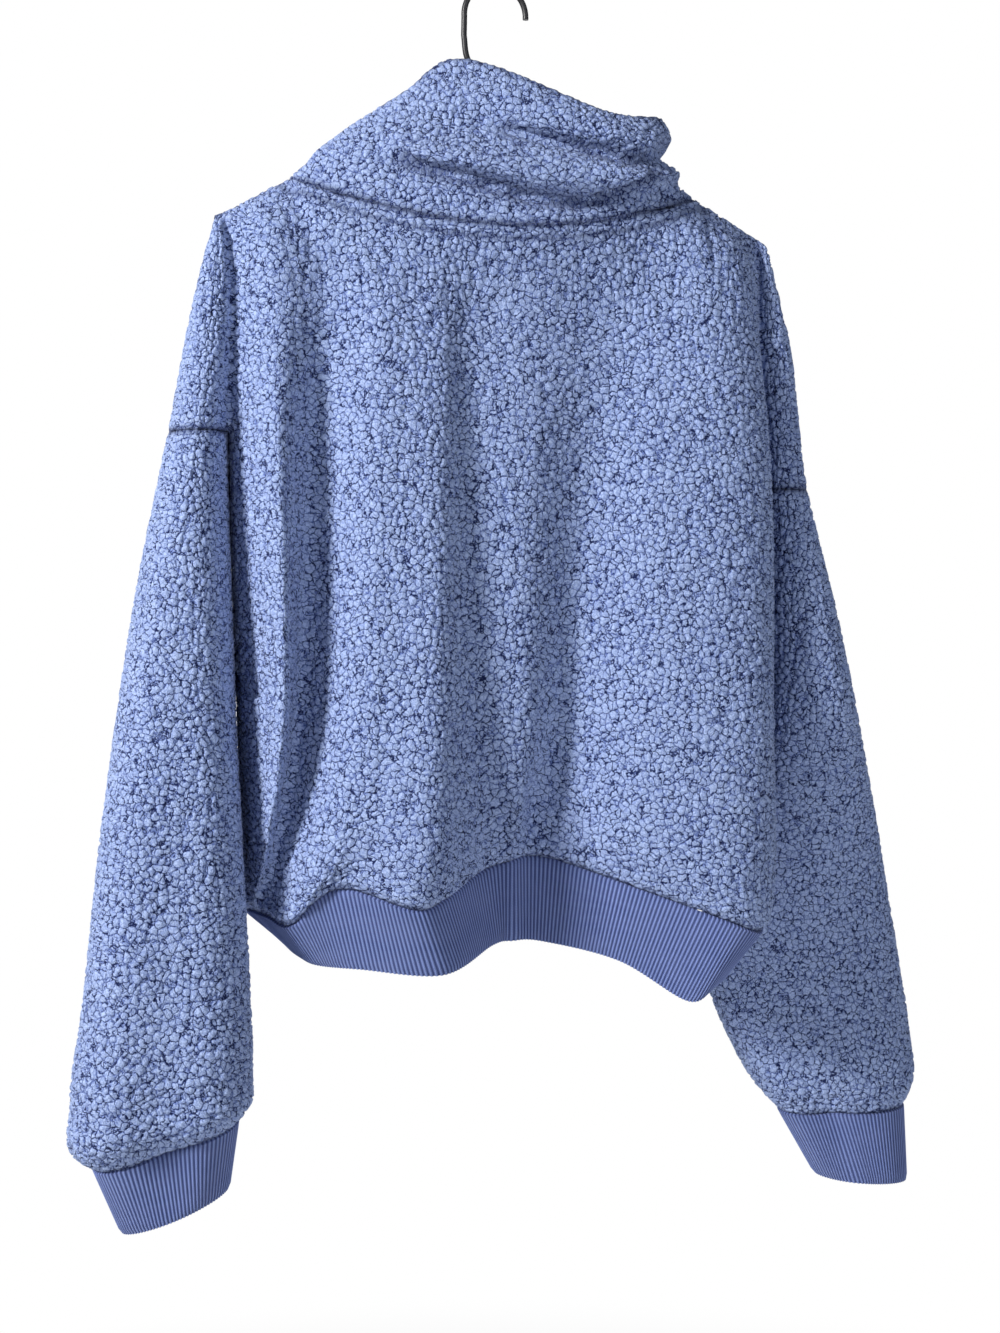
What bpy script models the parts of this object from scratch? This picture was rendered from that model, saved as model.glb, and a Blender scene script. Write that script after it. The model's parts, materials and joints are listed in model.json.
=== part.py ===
"""Sherpa jacket hanging on a plain hanger, built as one cloth skin that is cut along its seams.

Units in the tables are millimetres; meshes are in metres. +Z is up and -Y is the jacket's back.
The origin is the top of the hook's inner curve, where a rail carries it.
"""

import math
from collections import namedtuple

import bmesh
import bpy
import numpy as np
from mathutils import Vector
from mathutils.bvhtree import BVHTree

MM = 0.001

# Cloth sizes
PILE_WALL = 2.8
WALL_SHARE = 0.4
PINCH_WALL = 0.8
PINCH_SLOPE = 0.12
THINNING = 0.8
THINNING_ROUNDS = 12
INSIDE_SHARE = 0.3
RIB_WALL = 2.0
RIB_PITCH = 4.2
RIB_RISE = 0.7
SEAM_GAP = 0.3
BAND_GAP = 0.5
HEM_ROLL = 4.5
ROLL_ROWS = 0.15
RAY_START = 0.5
SHARP_ANGLE = 50.0

# Shoulder tips, neck seam and collar
TIP_X = 181.0
NECK_X = 136.0
TIP_Z = (-153.0, -156.0)
NECK_Z = (-128.0, -131.0)
BACK_NECK_DEPTH = 40.0
FRONT_NECK_DEPTH = 48.0
BACK_NECK_DROP = 29.0
FRONT_NECK_DROP = 72.0
SHOULDER_ROUND = 30.0
SHOULDER_REACH = 25.0
TIP_OPENING = 0.35
UNDERARM_CLOSING = 4

# Zip and its slider
ZIP_WIDTH = 8.0
ZIP_WALL = 1.8
ZIP_SINK = 0.4
SLIDER_AT = 0.9
SLIDER_WIDTH = 7.4
SLIDER_LENGTH = 11.0
SLIDER_THICK = 3.0
SLIDER_EDGE = 0.8
SLOPE_ROWS = 0.4
BRIDGE_RADIUS = 0.8
BRIDGE_RISE = 3.4
BRIDGE_SPAN = 5.6
BRIDGE_FOOT = 0.2
TAB_WIDTH = 6.4
TAB_LENGTH = 26.0
TAB_THICK = 1.2
TAB_KNUCKLE = 0.9
TAB_NECK = 2.0
TAB_SHOULDER = 4.0
TAB_POINT = 3.0
TAB_CORNER = 1.6
KNUCKLE_SIDES = 16

# Hanger
HOOK_WIRE = 1.9
HOOK_INNER = 18.4
ARM_RADIUS = 4.5
ARM_REACH = 162.0
ARM_CLEAR = 2.35
ARM_BOW = 2.0
ARM_STEPS = 20
HUB_Z = -84.0
HUB_RADIUS = 9.0
HUB_TOP = 7.0
HUB_SIDES = 16
Bend = namedtuple("Bend", "x z")
STEM = (
    Bend(0, HUB_Z + HUB_TOP + SEAM_GAP),
    Bend(-0.5, -70),
    Bend(-11, -58),
    Bend(-18.5, -46),
    Bend(-20.5, -32),
)
STEM_STEPS = 9
HOOK_TURNS = (184, -4)
HOOK_STEPS = 20

# Heights of the body's levels at the left and right edges: top, yoke, armhole seam, underarm
LEVEL_Z = ((-153.0, -156.0), (-200.0, -215.0), (-290.0, -323.0), (-457.0, -470.0))
LOW_SHARE = 0.68
YOKE_DIP = {"back": 6.0, "front": 46.0}
SEAM_DIP = {"back": 0.0, "front": 12.0}
ROWS_PER_LEVEL = ((0.06, 0.2, 0.5, 1.0), (0.3, 0.65, 1.0), (0.25, 0.5, 0.75, 1.0), (0.33, 0.67, 1.0),
                  (0.4, 0.72, 0.9, 1.0))
SEAM_LEVEL = 2
UNDERARM_LEVEL = 3

Fold = namedtuple("Fold", "name top_x yoke_x yoke_y seam_x seam_y under_x under_y low_x low_y "
                  "hem_x hem_y hem_z foot_x foot_y foot_z")
BACK_FOLDS = (
    Fold("left edge", -181, -171, -11, -174, -13, -170, 0, -170, 21, -167, 22, -600, -138, 10, -620),
    Fold("armhole ridge", -158, -146, -30, -147, -50, -146, -60, -157, -40, -164, 6, -599, -136, -4, -623),
    Fold("left valley", -136, -113, -24, -121, -28, -131, -28, -146, -26, -157, -14, -599, -131, -18, -626),
    Fold("left panel", -92, -84, -36, -92, -52, -103, -62, -124, -60, -142, -42, -601, -122, -32, -628),
    Fold("left dimple", -70, -64, -37, -70, -57, -80, -70, -94, -72, -112, -58, -577, -98, -48, -628),
    Fold("left ridge", -46, -42, -36, -46, -57, -50, -74, -54, -82, -60, -76, -589, -46, -62, -631),
    Fold("centre valley", -18, -20, -30, -26, -44, -22, -52, -14, -42, -12, -32, -573, -6, -24, -621),
    Fold("centre ridge", 20, 20, -30, 14, -44, 11, -50, 7, -42, 8, -28, -567, 8, -18, -620),
    Fold("long valley", 60, 70, -25, 56, -32, 42, -32, 27, -20, 30, -22, -567, 28, -18, -621),
    Fold("right panel", 98, 104, -30, 98, -48, 90, -60, 84, -58, 86, -46, -586, 76, -34, -633),
    Fold("right ridge", 136, 140, -35, 142, -54, 142, -68, 140, -72, 142, -64, -606, 118, -50, -658),
    Fold("right corner", 158, 167, -27, 175, -42, 174, -54, 173, -58, 170, -54, -615, 138, -44, -652),
    Fold("right edge", 181, 179, -9, 185, -11, 186, 0, 183, -25, 176, -34, -611, 150, -28, -648),
)
FRONT_FOLDS = (
    Fold("left edge", -181, -171, 11, -174, 13, -170, 0, -170, 21, -167, 22, -600, -138, 10, -620),
    Fold("left armhole ridge", -158, -150, 26, -152, 42, -150, 48, -152, 56, -148, 50, -594, -126, 30, -626),
    Fold("left shoulder", -136, -116, 22, -122, 28, -122, 32, -120, 40, -118, 52, -588, -108, 42, -630),
    Fold("left chest", -92, -84, 32, -86, 48, -88, 60, -88, 70, -86, 68, -588, -80, 54, -632),
    Fold("left valley", -48, -44, 30, -46, 38, -46, 44, -46, 48, -44, 50, -584, -42, 44, -630),
    Fold("zip left", -4, -4, 34, -4, 46, -4, 56, -4, 62, -4, 58, -586, -4, 46, -630),
    Fold("zip right", 4, 4, 34, 4, 46, 4, 56, 4, 62, 4, 58, -586, 4, 46, -630),
    Fold("right valley", 48, 44, 30, 46, 38, 44, 44, 44, 50, 44, 52, -587, 42, 42, -632),
    Fold("right chest", 92, 86, 32, 88, 46, 86, 54, 84, 56, 84, 46, -596, 80, 36, -638),
    Fold("right shoulder", 136, 120, 24, 124, 30, 124, 34, 122, 24, 120, 12, -604, 112, 10, -646),
    Fold("right armhole ridge", 158, 156, 22, 160, 28, 160, 22, 160, -4, 154, -14, -609, 136, -12, -650),
    Fold("right edge", 181, 179, 9, 185, 13, 186, 0, 183, -25, 176, -34, -611, 150, -28, -648),
)
ZIP_FOLD = 5
BACK_STEPS = (4, 4, 4, 2, 3, 3, 3, 3, 3, 3, 4, 4)
FRONT_STEPS = (4, 4, 3, 3, 3, 1, 3, 3, 3, 4, 4)
ZIP_COLUMN = sum(FRONT_STEPS[:ZIP_FOLD])

Section = namedtuple("Section", "z inner_x outer_x back_y front_y tilt")
LEFT_SLEEVE = (
    Section(-153, -181, -181, 0, 0, 0),
    Section(-156, -175.5, -182, -6, 6, 0),
    Section(-162, -173, -183.5, -11, 10, 0),
    Section(-176, -170, -188, -16, 14, 0),
    Section(-200, -168, -194, -20, 18, 0),
    Section(-290, -170, -212, -38, 32, 0),
    Section(-396, -170, -234, -52, 42, 0),
    Section(-457, -170, -244, -58, 42, 0),
    Section(-545, -168, -257, -68, 20, 0),
    Section(-645, -164, -269, -74, 14, 0.05),
    Section(-700, -163, -277, -76, 14, 0.15),
    Section(-727, -165, -275, -72, 12, 0.24),
    Section(-737, -172, -263, -62, 8, 0.29),
)
RIGHT_SLEEVE = (
    Section(-156, 181, 181, 0, 0, 0),
    Section(-159, 178.5, 184, -6, 6, 0),
    Section(-166, 177, 187, -10, 11, 0),
    Section(-182, 175, 191, -14, 16, 0),
    Section(-215, 174, 200, -18, 22, 0),
    Section(-323, 178, 216, -24, 38, 0),
    Section(-398, 182, 235, -32, 44, 0),
    Section(-470, 187, 252, -34, 46, 0),
    Section(-508, 185, 265, -22, 58, 0),
    Section(-545, 177, 279, -6, 70, 0),
    Section(-610, 162, 298, 12, 84, 0),
    Section(-667, 165, 311, 18, 90, 0),
    Section(-712, 183, 319, 20, 92, 0),
    Section(-750, 207, 321, 20, 92, 0.02),
    Section(-766, 222, 315, 28, 86, 0.02),
)
SLEEVE_ROWS = 10
SLEEVE_COLUMNS = 22
BOXINESS = 0.88
ARMHOLE_TURN = 50.0
ARMHOLE_SPREAD = 1.2
ARMHOLE_BLEND = 0.2
UNDERARM_BLEND = 60.0
ROW_CROWDING = 1.25
CREASE_FADE = 80.0

Crease = namedtuple("Crease", "turn width top_z bottom_z top_depth bottom_depth")
LEFT_CREASES = (
    Crease(92, 26, -380, -730, 2, 9),
    Crease(240, 30, -420, -730, 2, 7),
)
RIGHT_CREASES = (
    Crease(66, 24, -520, -760, 2, 9),
    Crease(250, 30, -420, -760, 2, 7),
)

CuffEnd = namedtuple("CuffEnd", "centre_x centre_y centre_z half_x half_y tilt")
LEFT_CUFF = CuffEnd(-212, -24, -781, 34, 23, 0.36)
RIGHT_CUFF = CuffEnd(284, 56, -818, 35, 22, -0.10)
CUFF_ROWS = 2

# The collar's middle and top, station by station round the neck from the left shoulder over the back
Stand = namedtuple("Stand", "turn middle_x middle_y middle_z top_x top_y top_z slouch")
COLLAR = (
    Stand(0, -114, 6, -110, -92, 18, -94, 0.1),
    Stand(45, -90, -22, -106, -60, -6, -69, 0.0),
    Stand(90, -8, -38, -106, -22, -17, -50, 0.35),
    Stand(135, 78, -38, -118, 66, -30, -81, 1.0),
    Stand(180, 116, 0, -110, 116, 2, -80, 0.6),
    Stand(225, 94, 52, -136, 90, 62, -103, 0.5),
    Stand(270, 4, 68, -158, 10, 88, -116, 0.2),
    Stand(315, -80, 50, -138, -62, 68, -106, 0.1),
)
Slouch = namedtuple("Slouch", "share out")
COLLAR_SLOUCH = (
    Slouch(0.0, 0),
    Slouch(0.2, -3),
    Slouch(0.4, 9),
    Slouch(0.6, -5),
    Slouch(0.8, 8),
    Slouch(1.0, 0),
)
COLLAR_ROWS = 10
STATION_TURN = 45.0
BAND_ROWS = 2

Finish = namedtuple("Finish", "colour roughness metallic")
FINISHES = {
    "sherpa": Finish((0.250, 0.345, 0.665), 0.95, 0.0),
    "rib": Finish((0.170, 0.235, 0.530), 0.85, 0.0),
    "zip": Finish((0.150, 0.200, 0.450), 0.6, 0.0),
    "zip_metal": Finish((0.35, 0.36, 0.40), 0.35, 1.0),
    "hanger": Finish((0.02, 0.02, 0.022), 0.45, 0.0),
}


def clear_scene():
    """Removes what the startup file holds."""
    for obj in list(bpy.data.objects):
        bpy.data.objects.remove(obj)


def material(name):
    """The Principled material of one finish."""
    made = bpy.data.materials.get(name)
    if made:
        return made
    finish = FINISHES[name]
    made = bpy.data.materials.new(name)
    made.use_nodes = True
    shader = made.node_tree.nodes["Principled BSDF"]
    shader.inputs["Base Color"].default_value = (*finish.colour, 1.0)
    shader.inputs["Roughness"].default_value = finish.roughness
    shader.inputs["Metallic"].default_value = finish.metallic
    return made


def link(name, mesh, finish, smooth=True):
    """One named object from a mesh, with its material."""
    obj = bpy.data.objects.new(name, mesh)
    bpy.context.scene.collection.objects.link(obj)
    mesh.materials.append(material(finish))
    if smooth:
        mesh.shade_smooth()
        mesh.set_sharp_from_angle(angle=math.radians(SHARP_ANGLE))
    return obj


def curve(knots, at, closed=False):
    """A smooth curve through the knots, read at parameters counted in knots."""
    knots = np.asarray(knots, float)
    count = len(knots)
    if closed:
        slopes = (np.roll(knots, -1, 0) - np.roll(knots, 1, 0)) / 2
        last = count - 1
    else:
        slopes = np.gradient(knots, axis=0)
        last = count - 2
    at = np.asarray(at, float)
    low = np.clip(np.floor(at).astype(int), 0, last)
    share = (at - low).reshape((-1,) + (1,) * (knots.ndim - 1))
    high = (low + 1) % count
    square, cube = share**2, share**3
    return ((2 * cube - 3 * square + 1) * knots[low] + (cube - 2 * square + share) * slopes[low]
            + (3 * square - 2 * cube) * knots[high] + (cube - square) * slopes[high])


def between(value, keys, rows):
    """A smooth reading of table rows at a key."""
    rows, keys = np.asarray(rows, float), np.asarray(keys, float)
    slopes = np.gradient(rows, keys, axis=0)
    low = int(np.clip(np.searchsorted(keys, value) - 1, 0, len(keys) - 2))
    width = keys[low + 1] - keys[low]
    share = (value - keys[low]) / width
    square, cube = share**2, share**3
    return ((2 * cube - 3 * square + 1) * rows[low] + (cube - 2 * square + share) * width * slopes[low]
            + (3 * square - 2 * cube) * rows[low + 1] + (cube - square) * width * slopes[low + 1])


def neck_point(x, side):
    """Depth and height of the neck seam or shoulder seam at x, on the back or the front."""
    share = (x / TIP_X + 1) / 2
    tip = TIP_Z[0] + (TIP_Z[1] - TIP_Z[0]) * share
    neck = NECK_Z[0] + (NECK_Z[1] - NECK_Z[0]) * share
    if abs(x) >= NECK_X:
        return 0.0, neck + (tip - neck) * (abs(x) - NECK_X) / (TIP_X - NECK_X)
    bow = math.sqrt(1 - (x / NECK_X) ** 2)
    if side == "back":
        return -BACK_NECK_DEPTH * bow, neck - BACK_NECK_DROP * bow**2
    return FRONT_NECK_DEPTH * bow, neck - FRONT_NECK_DROP * bow**2


def body_knots(folds, side):
    """Where each fold line passes each level: an array of levels, folds and x, y, z."""
    levels = []
    tops = [neck_point(fold.top_x, side) for fold in folds]
    levels.append([(fold.top_x, y, z) for fold, (y, z) in zip(folds, tops)])
    for index, (left, right) in enumerate(LEVEL_Z[1:], start=1):
        dip = {1: YOKE_DIP[side], 2: SEAM_DIP[side]}.get(index, 0.0)
        row = []
        for fold in folds:
            x, y = fold[2 * index], fold[2 * index + 1]
            share = (fold.top_x + TIP_X) / (2 * TIP_X)
            bow = max(0.0, 1 - (fold.top_x / NECK_X) ** 2)
            row.append((x, y, left + (right - left) * share - dip * bow))
        levels.append(row)
    levels.append([(fold.low_x, fold.low_y, z + (fold.hem_z - z) * LOW_SHARE)
                   for fold, (_, _, z) in zip(folds, levels[UNDERARM_LEVEL])])
    levels.append([(fold.hem_x, fold.hem_y, fold.hem_z) for fold in folds])
    return np.array(levels, float)


def whole_ring(back_points, front_points):
    """One row of the body all round, read at the columns of the back and of the front."""
    ring = np.concatenate([back_points, front_points[-2:0:-1]])
    turned = [len(ring) - column if column else 0 for column in column_parameters(FRONT_STEPS)]
    back_row = curve(ring, column_parameters(BACK_STEPS), closed=True)
    front_row = curve(ring, turned, closed=True)
    front_row[0], front_row[-1] = back_row[0], back_row[-1]
    return back_row, front_row


def around_from_zip(back_row, front_row):
    """A row of the body as one line from the left side of the zip over the back to its right side."""
    return np.concatenate([front_row[ZIP_COLUMN::-1], back_row[1:], front_row[-2:ZIP_COLUMN:-1]])


def row_parameters():
    """The rows from the top to the hem seam, counted in levels."""
    rows = [0.0]
    for level, shares in enumerate(ROWS_PER_LEVEL):
        rows += [level + share for share in shares]
    return rows


def column_parameters(steps):
    """The columns across a panel, counted in folds."""
    columns = [0.0]
    for fold, count in enumerate(steps):
        columns += [fold + (step + 1) / count for step in range(count)]
    return columns


def body_row(knots, row, side):
    """The fold points of one row, with the cloth rounded over the shoulder near the top."""
    points = curve(knots, [row])[0]
    if 0 < row < 1:
        sign = -1 if side == "back" else 1
        over_shoulder = np.clip(1 - np.abs(knots[0][:, 1]) / SHOULDER_REACH, 0, 1)
        points[1:-1, 1] += sign * SHOULDER_ROUND * math.sqrt(row) * (1 - row) * over_shoulder[1:-1]
        for edge in (0, -1):
            tip, yoke = knots[0][edge, :2], knots[1][edge, :2]
            points[edge, :2] = tip + (yoke - tip) * row**TIP_OPENING
    elif SEAM_LEVEL < row < UNDERARM_LEVEL:
        points[[0, -1], 1] = knots[SEAM_LEVEL][[0, -1], 1] * (1 - (row - SEAM_LEVEL) ** UNDERARM_CLOSING)
        points[[0, -1], 1] += knots[UNDERARM_LEVEL][[0, -1], 1] * (row - SEAM_LEVEL) ** UNDERARM_CLOSING
    return points


def ring_inset(points, distance):
    """A closed level ring moved inwards in its own plane."""
    ahead = np.roll(points, -1, 0) - np.roll(points, 1, 0)
    inward = np.stack([-ahead[:, 1], ahead[:, 0], np.zeros(len(points))], 1)
    inward /= np.linalg.norm(inward, axis=1)[:, None] + 1e-9
    if np.sum(inward * (points.mean(0) - points)) < 0:
        inward = -inward
    return points + inward * distance


def top_row(folds, columns, side):
    """The points along the shoulder seams and the neck seam."""
    across = np.interp(columns, range(len(folds)), [fold.top_x for fold in folds])
    return np.array([(x, *neck_point(x, side)) for x in across])


def body_grids():
    """Outer points of the back and the front, as rows of columns from the left edge to the right."""
    back_knots, front_knots = body_knots(BACK_FOLDS, "back"), body_knots(FRONT_FOLDS, "front")
    back_columns, front_columns = column_parameters(BACK_STEPS), column_parameters(FRONT_STEPS)
    rows = row_parameters()
    back_top = top_row(BACK_FOLDS, back_columns, "back")
    front_top = top_row(FRONT_FOLDS, front_columns, "front")
    back_change = back_top - curve(back_knots[0], back_columns)
    front_change = front_top - curve(front_knots[0], front_columns)
    back, front = [], []
    for row in rows:
        back_points = body_row(back_knots, row, "back")
        front_points = body_row(front_knots, row, "front")
        if row < UNDERARM_LEVEL:
            back_row = curve(back_points, back_columns) + back_change * max(0.0, 1 - row) ** 2
            front_row = curve(front_points, front_columns) + front_change * max(0.0, 1 - row) ** 2
        else:
            back_row, front_row = whole_ring(back_points, front_points)
        roll = max(0.0, (row - rows[-1] + ROLL_ROWS) / ROLL_ROWS)
        if roll > 0:
            whole = np.concatenate([back_row, front_row[-2:0:-1]])
            whole = ring_inset(whole, HEM_ROLL * roll)
            corner = len(back_row)
            back_row = whole[:corner]
            front_row = np.concatenate([whole[:1], whole[corner:][::-1], whole[corner - 1:corner]])
        back.append(back_row)
        front.append(front_row)
    return np.array(back), np.array(front)


def sleeve_ring(table, creases, z, outward, shares, turn_in=0.0):
    """Points round a sleeve at one height, from its inner side over the back and the outside to the front."""
    keys = [-section.z for section in table]
    inner_x, outer_x, back_y, front_y, tilt = between(-z, keys, [section[1:] for section in table])
    centre_x, centre_y = (inner_x + outer_x) / 2, (back_y + front_y) / 2
    half_x, half_y = abs(outer_x - inner_x) / 2, (front_y - back_y) / 2
    turns = turn_in + shares * (2 * math.pi - 2 * turn_in)
    reach = np.ones(len(turns))
    for crease in creases:
        strength = np.interp(-z, [-crease.top_z, -crease.bottom_z], [crease.top_depth, crease.bottom_depth])
        if z > crease.top_z:
            strength *= max(0.0, 1 - (z - crease.top_z) / CREASE_FADE)
        away = (np.degrees(turns) - crease.turn) / crease.width
        reach -= strength / max(half_y, 1.0) * np.exp(-away**2)
    across, along = np.cos(turns), np.sin(turns)
    x = centre_x - outward * half_x * reach * np.sign(across) * np.abs(across) ** BOXINESS
    y = centre_y - half_y * reach * np.sign(along) * np.abs(along) ** BOXINESS
    return np.stack([x, y, z + tilt * (x - centre_x)], 1)


def sleeve_grid(table, creases, outward, back_edge, front_edge, edge_rows):
    """Outer points of a sleeve from its tip to the cuff seam, open to the body above the underarm."""
    shares = np.linspace(0, 1, SLEEVE_COLUMNS + 1)
    grid = []
    for row, back_point, front_point in zip(edge_rows, back_edge, front_edge):
        if row > UNDERARM_LEVEL:
            break
        if row == 0:
            grid.append(np.repeat(back_point[None], len(shares), 0))
            continue
        turn_in = math.radians(ARMHOLE_TURN) * min(1.0, (UNDERARM_LEVEL - row) * ARMHOLE_SPREAD)
        ring = sleeve_ring(table, creases, back_point[2], outward, shares, turn_in)
        near_back = np.clip(1 - shares / ARMHOLE_BLEND, 0, 1)[:, None] ** 2
        near_front = near_back[::-1]
        ring = ring + near_back * (back_point - ring[0]) + near_front * (front_point - ring[-1])
        ring[:, 2] = back_point[2]
        ring[0], ring[-1] = back_point, front_point
        grid.append(ring)
    top_z, bottom_z = grid[-1][0][2], table[-1].z
    underarm = grid[-1][0]
    for share in np.linspace(0, 1, SLEEVE_ROWS + 1)[1:]:
        z = top_z + (bottom_z - top_z) * (1 - (1 - share) ** ROW_CROWDING)
        ring = sleeve_ring(table, creases, z, outward, shares)
        close = max(0.0, 1 - (top_z - z) / UNDERARM_BLEND) ** 2
        fade = np.clip(1 - np.minimum(shares, 1 - shares) / ARMHOLE_BLEND, 0, 1)[:, None] ** 2
        shift = np.array([underarm[0] - ring[0][0], underarm[1] - ring[0][1], 0.0])
        ring = ring + close * fade * shift
        ring[-1] = ring[0]
        grid.append(ring)
    return np.array(grid)


def collar_grid(neck_ring, turns):
    """Outer points of the collar, rows from the neck seam up to its top edge."""
    stations = np.array([stand[1:] for stand in COLLAR], float)
    read = curve(stations, np.asarray(turns) / STATION_TURN, closed=True)
    middles, tops, slouch = read[:, :3], read[:, 3:6], np.clip(read[:, 6:], 0, 1)
    rows = []
    for share in np.linspace(0, 1, COLLAR_ROWS + 1):
        points = curve(np.array([neck_ring, middles, tops]), [2 * share])[0]
        out = points - points.mean(0)
        out[:, 2] = 0
        out /= np.linalg.norm(out, axis=1)[:, None]
        folds = curve([fold.out for fold in COLLAR_SLOUCH], [share * (len(COLLAR_SLOUCH) - 1)])[0]
        rows.append(points + out * folds * slouch)
    return np.array(rows)


class Skin:
    """The jacket's outer surface: shared points, and faces that each belong to one panel."""

    def __init__(self):
        self.points, self.index, self.faces, self.set_normals, self.pinched = [], {}, [], {}, []

    def point(self, position):
        """The number of the point at this place."""
        key = tuple(np.round(position, 4))
        if key not in self.index:
            self.index[key] = len(self.points)
            self.points.append(np.array(position, float))
        return self.index[key]

    def patch(self, grid, panel_of, outside):
        """Adds a grid of points. panel_of names a cell's panel, and outside gives the way out at a place."""
        numbers = [[self.point(position) for position in row] for row in grid]
        added = []
        lean = 0.0
        for row in range(len(grid) - 1):
            for column in range(len(grid[0]) - 1):
                corners = [numbers[row][column], numbers[row][column + 1],
                           numbers[row + 1][column + 1], numbers[row + 1][column]]
                corners = list(dict.fromkeys(corners))
                if len(corners) < 3:
                    continue
                places = [self.points[corner] for corner in corners]
                normal = np.cross(places[1] - places[0], places[-1] - places[0])
                lean += float(normal @ outside(np.mean(places, 0)))
                added.append((panel_of(row, column), corners))
        for panel, corners in added:
            self.faces.append((panel, corners if lean > 0 else corners[::-1]))

    def normals(self):
        """The outward direction at each point."""
        points = np.array(self.points)
        total = np.zeros_like(points)
        for _, corners in self.faces:
            places = points[corners]
            normal = np.zeros(3)
            for step in range(1, len(corners) - 1):
                normal += np.cross(places[step] - places[0], places[step + 1] - places[0])
            total[corners] += normal
        total /= np.linalg.norm(total, axis=1)[:, None] + 1e-12
        for corner, direction in self.set_normals.items():
            total[corner] = direction
        return total

    def room(self, normals):
        """How far inwards each point may go before it nears the cloth opposite."""
        tree = BVHTree.FromPolygons([Vector(place) for place in self.points],
                                    [corners for _, corners in self.faces])
        distances = []
        for place, normal in zip(self.points, normals):
            hit = tree.ray_cast(Vector(place - normal * RAY_START), Vector(-normal))
            distances.append(WALL_SHARE * hit[3] if hit[0] else math.inf)
        return np.array(distances)

    def depths(self, thickness):
        """The wall's thickness at each point, less where the cloth turns too tightly for the whole of it."""
        points, normals = np.array(self.points), self.normals()
        depth = np.minimum(self.room(normals), thickness)
        for place in self.pinched:
            depth = np.minimum(depth, PINCH_WALL + PINCH_SLOPE * np.linalg.norm(points - place, axis=1))
        corners = np.array([(face[0], face[1], face[-2], face[-1]) for _, face in self.faces])

        def facing(places):
            across = places[corners[:, 2]] - places[corners[:, 0]]
            return np.cross(across, places[corners[:, 3]] - places[corners[:, 1]])

        outside = facing(points)
        for _ in range(THINNING_ROUNDS):
            inside = facing(points - normals * depth[:, None])
            tight = np.sum(inside * outside, 1) < INSIDE_SHARE * np.sum(outside**2, 1)
            depth[np.unique(corners[tight])] *= THINNING
        return depth

    def wall(self, panel, thickness, sink=0.0):
        """Points and faces of one panel's closed wall, drawn back from its edges by half a seam gap."""
        points, normals, depths = np.array(self.points), self.normals(), self.depths(thickness)
        faces = [corners for name, corners in self.faces if name == panel]
        edges = {edge for corners in faces for edge in zip(corners, corners[1:] + corners[:1])}
        border = sorted(edge for edge in edges if edge[::-1] not in edges)
        pull = {}
        for start, end in border:
            along = points[end] - points[start]
            along /= np.linalg.norm(along) + 1e-12
            for corner in (start, end):
                pull[corner] = pull.get(corner, np.zeros(3)) + np.cross(normals[corner], along)
        outer = points.copy()
        for corner, direction in pull.items():
            outer[corner] += direction / (np.linalg.norm(direction) + 1e-12) * SEAM_GAP / 2
        outer -= normals * sink
        used = sorted({corner for corners in faces for corner in corners})
        number = {corner: place for place, corner in enumerate(used)}
        count = len(used)
        depth = depths[used][:, None]
        places = np.concatenate([outer[used], outer[used] - normals[used] * depth])
        built = [[number[corner] for corner in corners] for corners in faces]
        built += [[number[corner] + count for corner in reversed(corners)] for corners in faces]
        for start, end in border:
            rim = [number[end], number[start], number[start] + count, number[end] + count]
            first = 1 if start < end else 0
            rim = rim[first:] + rim[:first]
            built += [rim[:3], [rim[0], rim[2], rim[3]]]
        return places, built


def mesh_of(name, places, faces):
    """A Blender mesh from points in millimetres."""
    mesh = bpy.data.meshes.new(name)
    mesh.from_pydata([tuple(place) for place in np.asarray(places) * MM], [], [list(face) for face in faces])
    mesh.validate()
    return mesh


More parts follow.
